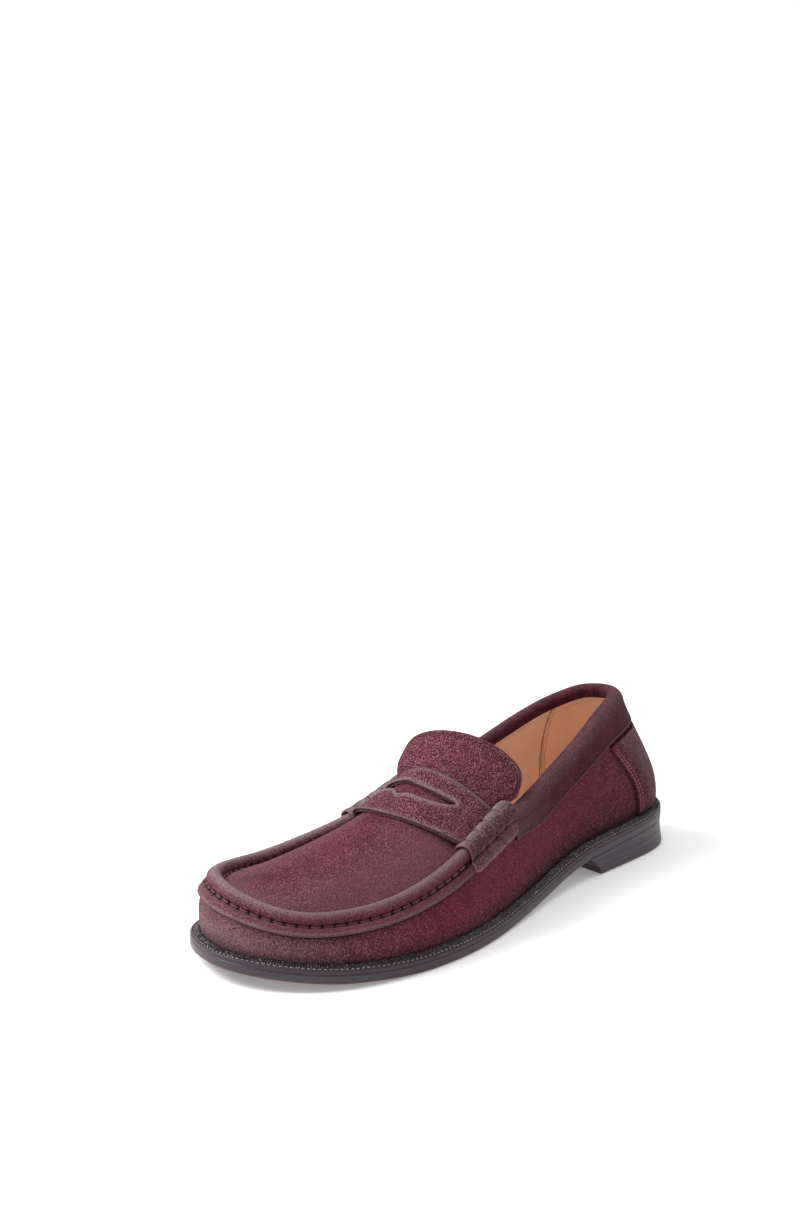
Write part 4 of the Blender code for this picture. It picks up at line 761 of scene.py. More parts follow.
# painted shade: the apron darkens towards its outer (+y) side, away from the key lamp, and turns redder there
panel("apron_skin", G_O, G_I, grid_faces(nA, nv, ids=ids), M_APRON, "shoe", ["apron"],
      {"dark": np.clip(np.stack(a_dark, 1) + 0.15 * smooth01(G_O[..., 1], 0, 28), 0, 1), "wear": np.stack(a_wear_and_highlight, 1),
       "red": 0.5 * smooth01(G_O[..., 1], 2, 26)}, bulge=0.9)

# one short stitch lies in the crease after each hole
def crease(L, lift):
    q = np.interp(L, seam_L, seam_s)
    c = ridge_pt(q, -2.9, 2.6); n = out_normal(f_top, q); n = np.concatenate([n, np.zeros((len(q), 1))], 1)
    a = math.radians(-24)
    return c + (n * math.cos(a) + up3 * math.sin(a)) * (RIDGE_R + lift)[:, None]
paths = []
for L in hole_L[:-1]:
    k = np.linspace(0.0, 1.0, 7)
    paths.append(crease(L + 0.35 + k * (PITCH - 0.9), -0.05 + 0.38 * np.sin(math.pi * k)))
def inner_crease(L, lift):
    q = np.interp(L, seam_L, seam_s)
    c = ridge_pt(q, -2.9, 2.6); n = out_normal(f_top, q); n = np.concatenate([n, np.zeros((len(q), 1))], 1)
    a = math.radians(192)
    return c + (n * math.cos(a) + up3 * math.sin(a)) * (RIDGE_R + lift)[:, None]
for L in hole_L[:-1]:
    k = np.linspace(0.0, 1.0, 7)
    paths.append(inner_crease(L + 0.5 + k * (PITCH - 1.2), 0.0 + 0.36 * np.sin(math.pi * k)))
cords("apron_stitches", paths, 0.34, M_STITCH, "shoe", ["apron_thread"], sides=8)

# ------------------------------------------------------------------ strap with coin slot
STRAP_FOOT = (-8.2, 7.0)
STRAP_X = {"mid": (193.5, 163.8), "outer": (187.0, 158.5), "inner": (188.0, 163.8)}
def strap_pt(a, v, off):
    a, v = np.broadcast_arrays(np.asarray(a, float), np.asarray(v, float))
    w = np.abs(v); wx = np.minimum(w, 1.0); m = STRAP_X["mid"]; eo, ei = STRAP_X["outer"], STRAP_X["inner"]
    e0, e1 = np.where(v >= 0, eo[0], ei[0]), np.where(v >= 0, eo[1], ei[1])
    x = (m[0] + (m[1] - m[0]) * a) * (1 - wx) + (e0 + (e1 - e0) * a) * wx
    lo, hi = np.where(v >= 0, 6.2, 18.2), np.where(v >= 0, 8.6, 20.9)
    for _ in range(26):
        mid = (lo + hi) / 2
        xm = arch(st(mid), wx, 0.0, STRAP_FOOT)[..., 0]
        low = np.where(v >= 0, xm < x, xm > x)
        lo, hi = np.where(low, mid, lo), np.where(low, hi, mid)
    return arch(st((lo + hi) / 2), w, off, STRAP_FOOT)


def slot_outline(n=61):
    y = -np.cos(np.linspace(0, math.pi, n))
    rear = 171.0 - 2.4 * y**2 + 0.6 * y
    lobe = 5.4 * np.sqrt(np.maximum(0.0, 1 - y**2)) + 2.8 * np.exp(-((y + 0.14) / 0.12)**2)
    front = rear + np.maximum(lobe, 0.3)
    yy = SLOT_MID + y * SLOT_HALF
    return np.array([(x, w) for x, w in zip(rear, yy)] + [(x, w) for x, w in zip(front[::-1], yy[::-1])])


STRAP_LEN, STRAP_WID = 27.0, 44.0
STRAP_END = 1.13                       # the ends run on under the rolls      # working scale of a and v in mm
so = slot_outline()
A_, V_ = np.full(len(so), 0.62), so[:, 1] / 45.0
for _ in range(14):                    # find each slot point on the strap's face
    p = strap_pt(A_, V_, GAP + STRAP_T); e = 1e-3
    pa = (strap_pt(A_ + e, V_, GAP + STRAP_T) - p) / e; pv = (strap_pt(A_, V_ + e, GAP + STRAP_T) - p) / e
    rx = so[:, 0] + (p[:, 2] - 40.0) * 4 / 30 - p[:, 0]; ry = so[:, 1] - p[:, 1]
    j11, j12 = pa[:, 0] - pa[:, 2] * 4 / 30, pv[:, 0] - pv[:, 2] * 4 / 30
    det = j11 * pv[:, 1] - j12 * pa[:, 1]
    A_ = A_ + np.clip((rx * pv[:, 1] - j12 * ry) / det, -0.1, 0.1); V_ = V_ + np.clip((j11 * ry - rx * pa[:, 1]) / det, -0.1, 0.1)
slot_uv = np.c_[A_ * STRAP_LEN, V_ * STRAP_WID]
def resample(loop, step):
    P = np.r_[loop, loop[:1]]; L = np.r_[0, np.cumsum(np.linalg.norm(np.diff(P, axis=0), axis=1))]
    q = np.linspace(0, L[-1], max(8, int(L[-1] / step)) + 1)[:-1]
    return np.c_[np.interp(q, L, P[:, 0]), np.interp(q, L, P[:, 1])]
slot_uv = resample(slot_uv, 0.55)
_c = slot_uv.copy()
for _ in range(1):                     # ease the corners of the opening a little
    slot_uv = (np.roll(slot_uv, 1, 0) + 2 * slot_uv + np.roll(slot_uv, -1, 0)) / 4
ux, uy = np.meshgrid(np.linspace(0, STRAP_LEN, 46), np.linspace(-STRAP_WID * STRAP_END, STRAP_WID * STRAP_END, 168), indexing="ij")
gp = np.c_[ux.ravel(), uy.ravel()]
on_rim = (ux.ravel() < 1e-6) | (ux.ravel() > STRAP_LEN - 1e-6) | (np.abs(uy.ravel()) > STRAP_WID * STRAP_END - 1e-6)
def inside(p, loop):
    x, y = p[:, 0:1], p[:, 1:2]; a, b = loop, np.roll(loop, -1, 0)
    c = ((a[:, 1] > y) != (b[:, 1] > y)) & (x < (b[:, 0] - a[:, 0]) * (y - a[:, 1]) / np.where(b[:, 1] == a[:, 1], 1e-9, b[:, 1] - a[:, 1]) + a[:, 0])
    return c.sum(1) % 2 == 1
d_slot = np.sqrt(((gp[:, None] - slot_uv[None])**2).sum(-1)).min(1)
gp = gp[on_rim | ((d_slot > 0.45) & ~inside(gp, slot_uv))]
pts2 = np.r_[slot_uv, gp]
ns = len(slot_uv)
res = geometry.delaunay_2d_cdt([Vector(p) for p in pts2], [(k, (k + 1) % ns) for k in range(ns)], [], 0, 1e-6)
uv = np.array([tuple(p) for p in res[0]])
tri = np.array([tuple(f) for f in res[2]])
cen = uv[tri].mean(1)
tri = tri[~inside(cen, slot_uv)]
area = np.cross(uv[tri[:, 1]] - uv[tri[:, 0]], uv[tri[:, 2]] - uv[tri[:, 0]])
tri = tri[np.abs(area) > 1e-7]; area = area[np.abs(area) > 1e-7]
tri[area < 0] = tri[area < 0][:, ::-1]
a_, v_ = uv[:, 0] / STRAP_LEN, uv[:, 1] / STRAP_WID
d_slot = np.sqrt(((uv[:, None] - slot_uv[None])**2).sum(-1)).min(1)
p0_ = strap_pt(a_, v_, GAP + STRAP_T)
u = 0.10 * wobble(p0_, 9.0, 5.0) * smooth01(np.minimum(a_, 1 - a_), 0.03, 0.2)
lip = 0.22 * bell(d_slot - 1.0, 0.8) - 0.25 * bell(d_slot, 0.5)
S_O, S_I = strap_pt(a_, v_, GAP + STRAP_T + u + lip), strap_pt(a_, v_, GAP + 0.05)
edge_d = np.minimum(np.minimum(a_, 1 - a_) * STRAP_LEN, 99)
# painted shade: the strap ends darken where they run under the rolls
panel("strap_skin", S_O, S_I, [tuple(f) for f in tri.tolist()], M_STRAP, "shoe", ["strap"],
      {"wear": 0.75 * bell(d_slot - 0.8, 1.3) + 0.6 * bell(edge_d, 1.6), "dark": 0.25 * smooth01(np.abs(v_), 0.86, 1.0)}, bulge=0.95, flip=False)

# ------------------------------------------------------------------ roll keepers
GROOVES = (0.11, 0.33, 0.55, 0.78)
def roll_skin(name, i0, i1, node, thread_node, thread_name):
    s0, s1 = st(i0), st(i1)
    F_ = np.linspace(0, 1, 150)
    S = s0 + (s1 - s0) * F_
    g = np.min(np.abs(F_[:, None] - np.array(GROOVES)[None]), 1)
    length = abs(s1 - s0)
    gd = g * length                                  # mm to the nearest groove
    c = ridge_pt(S, -2.9, 2.6); n = out_normal(f_top, S); n3 = np.concatenate([n, np.zeros((len(S), 1))], 1)
    base_R = RIDGE_R + GAP + 1.55 + 0.9 * F_
    cO, cI, dk, wr = [], [], [], []
    th = 1.15
    for a in np.r_[np.linspace(146, 8, 44)]:
        swell = 0.62 * (1 - bell(gd, 1.9)) + 0.26 * bell(gd - 0.9, 0.35) - 0.45 * bell(gd, 0.42)
        top = 0.55 + 0.45 * smooth01(150 - a, 0, 60)
        r = base_R - 0.05 + swell * top + 0.07 * wobble(c + n3 * math.cos(math.radians(a)) * 5 + up3 * math.sin(math.radians(a)) * 5, 3.6, i0)
        r = r - 0.35 * bell(a - 8, 10) - 0.25 * bell(a - 8, 10) * bell(gd, 1.2)
        ca, sa = math.cos(math.radians(a)), math.sin(math.radians(a))
        cO.append(c + (n3 * ca + up3 * sa) * r[:, None]); cI.append(c + (n3 * ca + up3 * sa) * (np.minimum(r - th, base_R - 0.9))[:, None])
        # painted shade in the grooves and on the lower side of each segment
        dk.append(0.85 * bell(gd, 0.40) + 0.26 * smooth01(-a, -75, -25) + 0 * S)
        # painted highlight on the top of each segment and on the upper groove lips
        wr.append(0.70 * bell(a - 104, 30) * (1 - bell(gd, 1.2)) + 0.40 * bell(gd - 0.95, 0.35) * bell(a - 90, 50) + 0 * S)
    k = GAP * 2 + APRON_T
    tl = flange_t(S) - 0.03
    endO, endI = cO[-1], cI[-1]
    tabO, tabI = wall_n(S, 0.965 + 0 * S, k + 1.05), wall_n(S, 0.965 + 0 * S, k - 0.05)
    for q in np.linspace(0, 1, 13)[1:-1]:
        bow = -0.42 * math.sin(math.pi * q) - 0.30 * bell(q - 0.5, 0.14) - 0.35 * bell(q - 0.5, 0.2) * bell(gd, 0.8)
        cO.append(endO * (1 - q) + tabO * q + n3 * np.reshape(bow, (-1, 1))); cI.append(endI * (1 - q) + tabI * q)
        # painted shade in the crease above the tab and in the stitch hole at the foot of each groove
        dk.append(1.0 * bell(q - 0.5, 0.11) + 1.0 * bell(q - 0.5, 0.30) * bell(gd, 0.8) + 0 * S)
        wr.append(0 * S)
    tip = 1 - 0.22 * (bell(F_, 0.05) + bell(F_ - 1, 0.05))   # rounded corners of the tab
    for w in np.linspace(0, 1, 14):
        tt = 0.965 + (tl - 0.965) * w * tip
        off = k + 1.05 + 0.40 * smooth01(w, 0.0, 0.3)
        cO.append(wall_n(S, tt, off)); cI.append(wall_n(S, tt, off - 1.1))
        dk.append(0 * S)
        # painted highlight along the lower edge of the tab
        wr.append(0.10 + 0.25 * smooth01(w, 0.6, 1.0) + 0 * S)
    O, I = np.stack(cO, 1), np.stack(cI, 1)
    nu, nv_ = O.shape[:2]
    panel(name, O, I, grid_faces(nu, nv_), M_ROLL, "shoe", [node],
          {"dark": np.clip(np.stack(dk, 1), 0, 1), "wear": np.stack(wr, 1), "red": 0.42 * smooth01(np.arange(nv_), 18, 42)[None] + 0 * O[..., 0]},
          bulge=0.9, flip=(i1 < i0), rim=4, edge_reach=0.7)
    paths = []
    for q in GROOVES:
        for d in (-0.30, 0.30):
            sq = s0 + (s1 - s0) * q + d * (1 if s1 > s0 else -1)
            A = np.radians(np.linspace(136, 20, 26))
            cc = ridge_pt(np.full(26, sq), -2.9, 2.6); nn = out_normal(f_top, np.full(26, sq))
            r = RIDGE_R + GAP + 1.55 + 0.9 * q - 0.36
            r = r - 0.30 * bell(np.degrees(A) - 10, 7) - 0.3 * bell(np.degrees(A) - 136, 12)
            paths.append(cc + np.c_[nn * np.cos(A)[:, None], np.sin(A)] * r[:, None] if np.ndim(r) else cc)
    cords(thread_name, paths, 0.20, M_STITCH, "shoe", [thread_node], sides=8)
roll_skin("roll_outer_skin", ROLL_F_L, ROLL_R_L, "strap_roll_outer", "roll_thread_outer", "roll_lashing_outer")
roll_skin("roll_inner_skin", ROLL_F_M, ROLL_R_M, "strap_roll_inner", "roll_thread_inner", "roll_lashing_inner")

# ------------------------------------------------------------------ collar
def collar_ring(s):
    """Section of the folded collar, points (15, n, 3), in order round the leather."""
    p0, p1, p2, p3 = handles(s)
    L = np.linalg.norm(p3 - p2, axis=-1)
    end = np.minimum(np.abs(s - st(ROLL_R_M)), np.abs(s - st(ROLL_R_L) - PER)) / 30.0
    k = smooth01(end, 0.0, 1.0)
    tl = 1 - np.minimum(0.45, COLLAR_H * (0.62 + 0.38 * k) / (3 * L) * 1.12)
    n = out_normal(f_top, s)
    def at(a, b):
        q = f_top(s).copy(); q[:, :2] += n * a; q[:, 2] += b; return q
    deep = -(UPPER_T + STIFF_T + LINING_T + 3 * GAP)
    g = GAP + 0.4; o = g + COLLAR_T
    ti = 1 - COLLAR_IN / (3 * L)
    one = np.ones(len(s))
    outer = [wall_n(s, tl, o), wall_n(s, tl + (1 - tl) * 0.06, o + 0.22), wall_n(s, tl + (1 - tl) * 0.25, o + 0.12), wall_n(s, (tl + 1) / 2, o), wall_n(s, tl + (1 - tl) * 0.75, o + 0.05), wall_n(s, 0.985 * one, o),
             at(-0.4, o), at(deep * 0.5, o + 0.3), at(deep + 0.1, o - 0.4), at(deep - COLLAR_T, -0.9), wall_n(s, (1 + ti) / 2, deep - COLLAR_T), wall_n(s, ti, deep - COLLAR_T)]
    inner = [wall_n(s, tl, g), wall_n(s, tl + (1 - tl) * 0.06, g), wall_n(s, tl + (1 - tl) * 0.25, g), wall_n(s, (tl + 1) / 2, g), wall_n(s, tl + (1 - tl) * 0.75, g), wall_n(s, 0.985 * one, g),
             at(-0.4, g), at(deep * 0.5, g + 0.3), at(deep + 0.5, g - 0.2), at(deep, -0.9), wall_n(s, (1 + ti) / 2, deep), wall_n(s, ti, deep)]
    return np.array(outer), np.array(inner)


def through(P, n):
    """n points on a smooth curve through the rows of P (k, m, 3)."""
    L = np.r_[0, np.cumsum(np.linalg.norm(np.diff(P.mean(1), axis=0), axis=1)**0.5)]
    f = natural(L, P.reshape(len(P), -1))
    return f(np.linspace(0, L[-1], n)).reshape(n, P.shape[1], 3)


S_C = np.linspace(st(ROLL_R_M) + 0.2, st(ROLL_R_L) + PER - 0.2, 620)
cO, cI = collar_ring(S_C)
C_O, C_I = through(cO, 46).transpose(1, 0, 2), through(cI, 46).transpose(1, 0, 2)
mid_n = unit(C_O - C_I)
C_O = C_O + mid_n * (0.13 * wobble(C_O, 11.0, 6.0) + 0.06 * wobble(C_O, 4.5, 2.0))[..., None]
kk = np.linspace(0, 1, 46)[None] + 0 * C_O[..., 0]
fr = smooth01(np.minimum(np.arange(620), 619 - np.arange(620)), 0, 90)[:, None] + 0 * kk
panel("collar_skin", C_O, C_I, grid_faces(620, 46), M_COLLAR_SHADED, "shoe", ["collar"],
      {"wear": 0.28 * bell(kk - 0.60, 0.12) + 0.22 * (1 - fr) * bell(kk - 0.2, 0.25) + 0.5 * bell(kk - 0.02, 0.025), "dark": 0.30 * bell(kk - 0.09, 0.035), "red": 0.15 + 0 * kk}, bulge=0.9, edge_reach=0.8)

# ------------------------------------------------------------------ back stay
_sx = np.linspace(0, PER, 3201); _wx = wall(_sx, np.full(len(_sx), 0.4))[:, 0]; _ix = to_i(_sx)
def s_of_x(x, lateral):
    m = (_ix < 5) if lateral else (_ix > 21)
    o = np.argsort(_wx[m])
    return np.interp(x, _wx[m][o], _sx[m][o])
def stay_edge(t):
    return 43.0 - 2.2 * np.sin(math.pi * np.minimum(1, (t - 0.085) / 0.6)) + 6.0 * ((t - 0.085) / 0.615)**2
T_S = np.linspace(0.06, 0.735, 60)
sl, sm = s_of_x(stay_edge(T_S), True) + PER, s_of_x(stay_edge(T_S), False)
U_S = np.linspace(0, 1, 260)
s = sm[None] + (sl - sm)[None] * U_S[:, None]; t = T_S[None] + 0 * s
edge_mm = np.minimum(U_S, 1 - U_S)[:, None] * (sl - sm)[None]
b = wall(s, t)
und = 0.12 * wobble(b, 9.0, 8.0) * smooth01(edge_mm, 1, 6)
row = -0.30 * (bell(edge_mm - 1.9, 0.45) + bell(edge_mm - 4.6, 0.45))
# painted shade in the two stitch rows and near the welt; the redder band along the front edges is a painted reddish
# highlight
panel("back_stay_skin", wall_n(s, t, 1.72 + und + row), wall_n(s, t, 0.62), grid_faces(260, 60), M_STAY, "shoe", ["back_stay"],
      {"wear": 0.30 * smooth01(edge_mm, 6, 22) + 0.05 * bell(edge_mm, 1.2), "red": 0.9 * bell(edge_mm - 3.2, 3.2), "dark": 0.15 * (bell(edge_mm - 1.9, 0.4) + bell(edge_mm - 4.6, 0.4)) + 0.5 * (1 - smooth01(t, 0.06, 0.16))}, bulge=0.9)
for nm, lateral in (("outer", True), ("inner", False)):
    paths = []
    for inset in (1.9, 4.6):
        tq = np.linspace(0.075, 0.70, 600)
        e = s_of_x(stay_edge(tq), lateral)
        q = e - inset if lateral else e + inset
        P = wall_n(q, tq, 1.72 - 0.30 + 0.16)
        L = np.r_[0, np.cumsum(np.linalg.norm(np.diff(P, axis=0), axis=1))]
        for a in np.arange(0.5, L[-1] - 2.0, 2.1):
            k = np.linspace(a, a + 1.55, 5)
            seg = np.stack([np.interp(k, L, P[:, c]) for c in range(3)], 1)
            nrm = unit(wall_n(q, tq, 2.0)[np.searchsorted(L, a)] - P[np.searchsorted(L, a)])
            paths.append(seg + nrm * (0.10 * np.sin(math.pi * np.linspace(0, 1, 5)) - 0.02)[:, None])
    cords(f"stay_stitches_{nm}", paths, 0.22, M_STITCH_STAY, "shoe", [f"stay_thread_{nm}"], sides=6)

# ------------------------------------------------------------------ tongue, its lining and its edge row
TONGUE_A = [0.0, 0.35, 0.7, 1.0]
TONGUE_MID = [(164.1, -7.0, 62.8), (158.0, -7.0, 69.5), (151.5, -6.6, 75.6), (145.6, -6.0, 81.2)]
TONGUE_LAT = [(157.0, 26.8, 49.8), (149.4, 28.2, 50.0), (140.6, 30.6, 53.6), (131.6, 32.2, 57.4)]
TONGUE_MED = [(163.0, -25.4, 54.2), (160.0, -28.4, 60.8), (156.5, -29.6, 65.6), (152.0, -29.6, 71.0)]
f_tc, f_tl, f_tm = (natural(TONGUE_A, v) for v in (TONGUE_MID, TONGUE_LAT, TONGUE_MED))
def tongue_pt(a, v, off=0.0):
    a, v = np.broadcast_arrays(np.asarray(a, float), np.asarray(v, float))
    def base(a, v):
        c = f_tc(a); e = np.where((v >= 0)[..., None], f_tl(a), f_tm(a))
        w = np.abs(v); k = np.where(v >= 0, 0.5 + 0.8 * a, 1.3)
        gh = np.sin(k * w) / np.sin(k); gv = (1 - np.cos(k * w)) / (1 - np.cos(k))
        return np.stack([c[..., 0] + (e[..., 0] - c[..., 0]) * gh, c[..., 1] + (e[..., 1] - c[..., 1]) * gh, c[..., 2] + (e[..., 2] - c[..., 2]) * gv], -1)
    a0 = np.minimum(a, 0.0); a = np.maximum(a, 0.0)
    p = base(a, v) + a0[..., None] * (base(0.05 + 0 * a, v) - base(0 * a, v)) / 0.05
    n = unit(np.cross(base(np.minimum(a + 0.03, 1), v) - base(np.maximum(a - 0.03, 0), v), base(a, v + 0.012) - base(a, v - 0.012)))
    n = n * np.where(n[..., 2:3] < 0, -1, 1)
    return p + n * np.asarray(off)[..., None]
def corner(v):
    return 1.0 - 0.27 * np.maximum(0.0, (np.abs(v) - 0.66) / 0.34)**3.0
vv = np.linspace(-1, 1, 170); aa = np.linspace(0, 1, 70)
v, a = np.meshgrid(vv, aa, indexing="ij")
A = -0.10 + a * (corner(v) + 0.10)
b = tongue_pt(A, v)
in_e = np.minimum((1 - a) * 29, (1 - np.abs(v)) * 40)
und = 0.14 * wobble(b, 12.0, 9.0) * smooth01(in_e, 0, 4) - 0.30 * bell(in_e - 2.1, 0.5)
# painted shade in the stitch groove by the edge and at the lower end, which lies under the strap
panel("tongue_skin", tongue_pt(A, v, und), tongue_pt(A, v, -1.4), grid_faces(170, 70), M_TONGUE, "tongue_flap", ["tongue"],
      {"wear": 0.06 * bell(in_e, 0.9), "dark": 0.60 * bell(in_e - 2.1, 0.38) + 0.25 * (1 - smooth01(a, 0.0, 0.25))}, bulge=0.95, flip=True)
A2 = -0.10 + a * (corner(v * 0.98) + 0.08); v2 = v * 0.98
panel("tongue_lining_skin", tongue_pt(A2, v2, -1.45), tongue_pt(A2, v2, -1.4 - GAP - 0.8), grid_faces(170, 70), M_TAN, "tongue_flap", ["tongue_lining"], {}, bulge=0.8, flip=True)
vq = np.linspace(-0.965, 0.965, 1200)
rowp = tongue_pt(corner(vq) * (1 - 2.1 / 29), np.clip(vq, -1, 1) * (1 - 2.1 / 40), -0.14)
L = np.r_[0, np.cumsum(np.linalg.norm(np.diff(rowp, axis=0), axis=1))]
paths = []
for q in np.arange(1.0, L[-1] - 2, 2.3):
    k = np.linspace(q, q + 1.45, 5)
    seg = np.stack([np.interp(k, L, rowp[:, c]) for c in range(3)], 1)
    paths.append(seg + np.array([0.0, 0, 1.0]) * (0.12 * np.sin(math.pi * np.linspace(0, 1, 5)))[:, None])
cords("tongue_stitches", paths, 0.21, M_STITCH, "tongue_flap", ["tongue_thread"], sides=6)

# ------------------------------------------------------------------ linings
D1 = UPPER_T + GAP; D2 = D1 + STIFF_T + GAP
SEAM_TOP, SEAM_LOW = 23.63, 23.03            # inner seam of the quarter lining, at the top and at the bottom
def seam_at(t):
    return st(SEAM_LOW + (SEAM_TOP - SEAM_LOW) * np.asarray(t))
T_L = np.linspace(0.04, 0.965, 56)
def lining(name, sa, sb, node, n, seam_rows=None, lap=0.0):
    """Lining between two station curves sa(t), sb(t)."""
    U = np.linspace(0, 1, n)
    a_, b_ = sa(T_L), sb(T_L)
    s = a_[None] + (b_ - a_)[None] * U[:, None]; t = T_L[None] + 0 * s
    und = 0.12 * wobble(wall(s, t), 14.0, 12.0)
    grooves = 0 * s
    for fn in (seam_rows or []):
        grooves = grooves + bell(s - fn(T_L)[None], 0.32)
    inn = wall_n(s, t, -(D2 + LINING_T + lap) + und + 0.18 * grooves)
    out = wall_n(s, t, -D2 - 0.02)
    return panel(name, inn, out, grid_faces(n, len(T_L)), M_TAN, "shoe", [node], {"dark": np.clip(0.5 * grooves, 0, 1)}, bulge=0.8, flip=True, edge_reach=0.7)
lat_seam = lambda t: st(3.0 - 0.4 * np.asarray(t))
lining("heel_lining_skin", seam_at, lambda t: lat_seam(t) + PER, "heel_lining", 260, [lambda t: seam_at(t) + 1.3, lambda t: seam_at(t) + 3.3], lap=0.25)
lining("quarter_lining_inner_skin", lambda t: st(20.15) + 0 * t, lambda t: seam_at(t) - 0.05, "quarter_lining_inner", 160, [])
lining("quarter_lining_outer_skin", lambda t: lat_seam(t) + 0.05, lambda t: st(6.9) + 0 * t, "quarter_lining_outer", 160, [])
# rows of lining stitches: two beside the inner seam, one along it behind, one under the topline in front
def stitch_row(fn, t0, t1, off, pitch=2.2, dash=1.4):
    tq = np.linspace(t0, t1, 500)
    P = fn(tq)
    L = np.r_[0, np.cumsum(np.linalg.norm(np.diff(P, axis=0), axis=1))]
    out = []
    for q in np.arange(0.4, L[-1] - dash, pitch):
        k = np.linspace(q, q + dash, 4)
        out.append(np.stack([np.interp(k, L, P[:, c]) for c in range(3)], 1))
    return out
din = -(D2 + LINING_T + 0.25) - 0.02
paths = stitch_row(lambda q: wall_n(seam_at(q) + 1.3, q, din), 0.10, 0.93, 0) + stitch_row(lambda q: wall_n(seam_at(q) + 3.3, q, din), 0.10, 0.93, 0)
paths += stitch_row(lambda q: wall_n(st(23.66) + (st(26.0) - st(23.66)) * q, 0.875 + 0.05 * q, din), 0.02, 1.0, 0)
paths += stitch_row(lambda q: wall_n(st(0.001) + (st(2.55) - st(0.001)) * q, 0.925 - 0.05 * q, din), 0.0, 1.0, 0)
paths += stitch_row(lambda q: wall_n(st(20.9) + (st(23.5) - st(20.9)) * q, 0.885 + 0 * q, din + 0.25), 0.0, 1.0, 0)
paths += stitch_row(lambda q: wall_n(st(2.8) + (st(6.2) - st(2.8)) * q, 0.885 + 0 * q, din + 0.25), 0.0, 1.0, 0)
cords("lining_stitches", paths, 0.20, M_STITCH_TAN, "shoe", [], sides=6)

# vamp lining: under the apron and down the wall in front
i0v, i1v = 7.1, float(across_v(np.array([7.1]))[0])
sl_ = np.linspace(st(i0v), st(13.5), 120); sm_ = st(across_v(to_i(sl_)[::-1]))[1:]
S_V = np.r_[sl_, sm_]; nV = len(S_V)
rO = [arch(S_V, np.full(nV, v), -APRON_T - GAP - 0.8) for v in np.linspace(0, 0.80, 20)]
rI = [arch(S_V, np.full(nV, v), -APRON_T - GAP - 0.8 - LINING_T + 0.1) for v in np.linspace(0, 0.80, 20)]
for q in np.linspace(0.66, 0.06, 18):
    rO.append(wall_n(S_V, np.full(nV, q), -D2)); rI.append(wall_n(S_V, np.full(nV, q), -D2 - LINING_T + 0.1))
G_O, G_I = np.stack(rO, 1), np.stack(rI, 1)
nv_ = G_O.shape[1]
ids = np.arange(nV * nv_).reshape(nV, nv_)
ids[nV - 1 - np.arange(nV // 2), 0] = ids[np.arange(nV // 2), 0]
panel("vamp_lining_skin", G_O, G_I, grid_faces(nV, nv_, ids=ids), M_TAN, "shoe", ["vamp_lining"], {}, bulge=0.8)

# ------------------------------------------------------------------ welt with milled ribs, and its stitches
RIB = 1.25
n_rib = int(round(PER / RIB)); per_rib = 6
S_R = np.linspace(0, PER, n_rib * per_rib + 1)[:-1]
rib = 0.5 + 0.5 * np.cos(2 * math.pi * S_R / (PER / n_rib))
prof = [(5.4, 4.15), (2.0, 4.15), (0.06, 4.15), (0.0, 4.6), (0.0, 5.3), (0.10, 5.80), (0.36, 6.12), (0.75, 6.30), (1.15, 6.42), (1.55, 6.62), (2.1, 6.86), (2.7, 7.12), (3.3, 7.38), (3.9, 7.62), (4.4, 7.72), (4.95, 7.5), (5.3, 6.2)]
zo = f_zb
rings, top_a, crown_a, dark_a = [], [], [], []
for d, z in prof:
    on = float(smooth01(d, 0.55, 1.3) * (z > 5.9) * (1 - smooth01(d, 4.3, 4.9)))
    p = sole(S_R, np.full(len(S_R), d))
    rings.append(np.c_[p, f_zb(p[:, 0]) + z + on * 0.34 * (rib - 0.6)])
    top_a.append(np.full(len(S_R), float(smooth01(d, 0.25, 0.75)) if z > 5.5 else 0.0))
    crown_a.append(on * rib**2); dark_a.append(0 * S_R)
G = np.stack(rings, 1)
nR, k = G.shape[:2]
ids = np.arange(nR * k).reshape(nR, k)
nx = np.roll(ids, -1, 0)
F = np.stack([ids, nx, np.roll(nx, -1, 1), np.roll(ids, -1, 1)], -1).reshape(-1, 4)
finish_mesh("welt_ribbed", G.reshape(-1, 3), [tuple(f) for f in F.tolist()], M_WELT,
            {"top": np.stack(top_a, 1).ravel(), "crown": np.stack(crown_a, 1).ravel(), "dark": np.zeros(nR * k), "edge": np.zeros(nR * k), "wear": np.zeros(nR * k), "red": np.zeros(nR * k)},
            "shoe", ["welt"])
paths = []
n_ws = int(PER / 2.4)
for q in np.arange(n_ws) * PER / n_ws:
    k = np.linspace(q, q + 1.35, 5)
    p = sole(k, np.full(5, 0.85))
    paths.append(np.c_[p, f_zb(p[:, 0]) + 6.40 + 0.14 * np.sin(math.pi * np.linspace(0, 1, 5))])
cords("welt_stitches", paths, 0.19, M_STITCH_PALE, "shoe", ["outseam_thread"], sides=6)


# ------------------------------------------------------------------ sole and heel blocks
_dense_s = np.linspace(0, PER, 6001)[:-1]
def sides_at(x, inset):
    p = sole(_dense_s, np.full(len(_dense_s), float(inset)))
    k0, k1 = np.argmin(p[:, 0]), np.argmax(p[:, 0])
    lat = p[k0:k1 + 1]; med = np.vstack([p[k1:], p[:k0 + 1]])[::-1]
    return np.interp(x, lat[:, 0], lat[:, 1]), np.interp(x, med[:, 0], med[:, 1]), p[k0, 0], p[k1, 0]


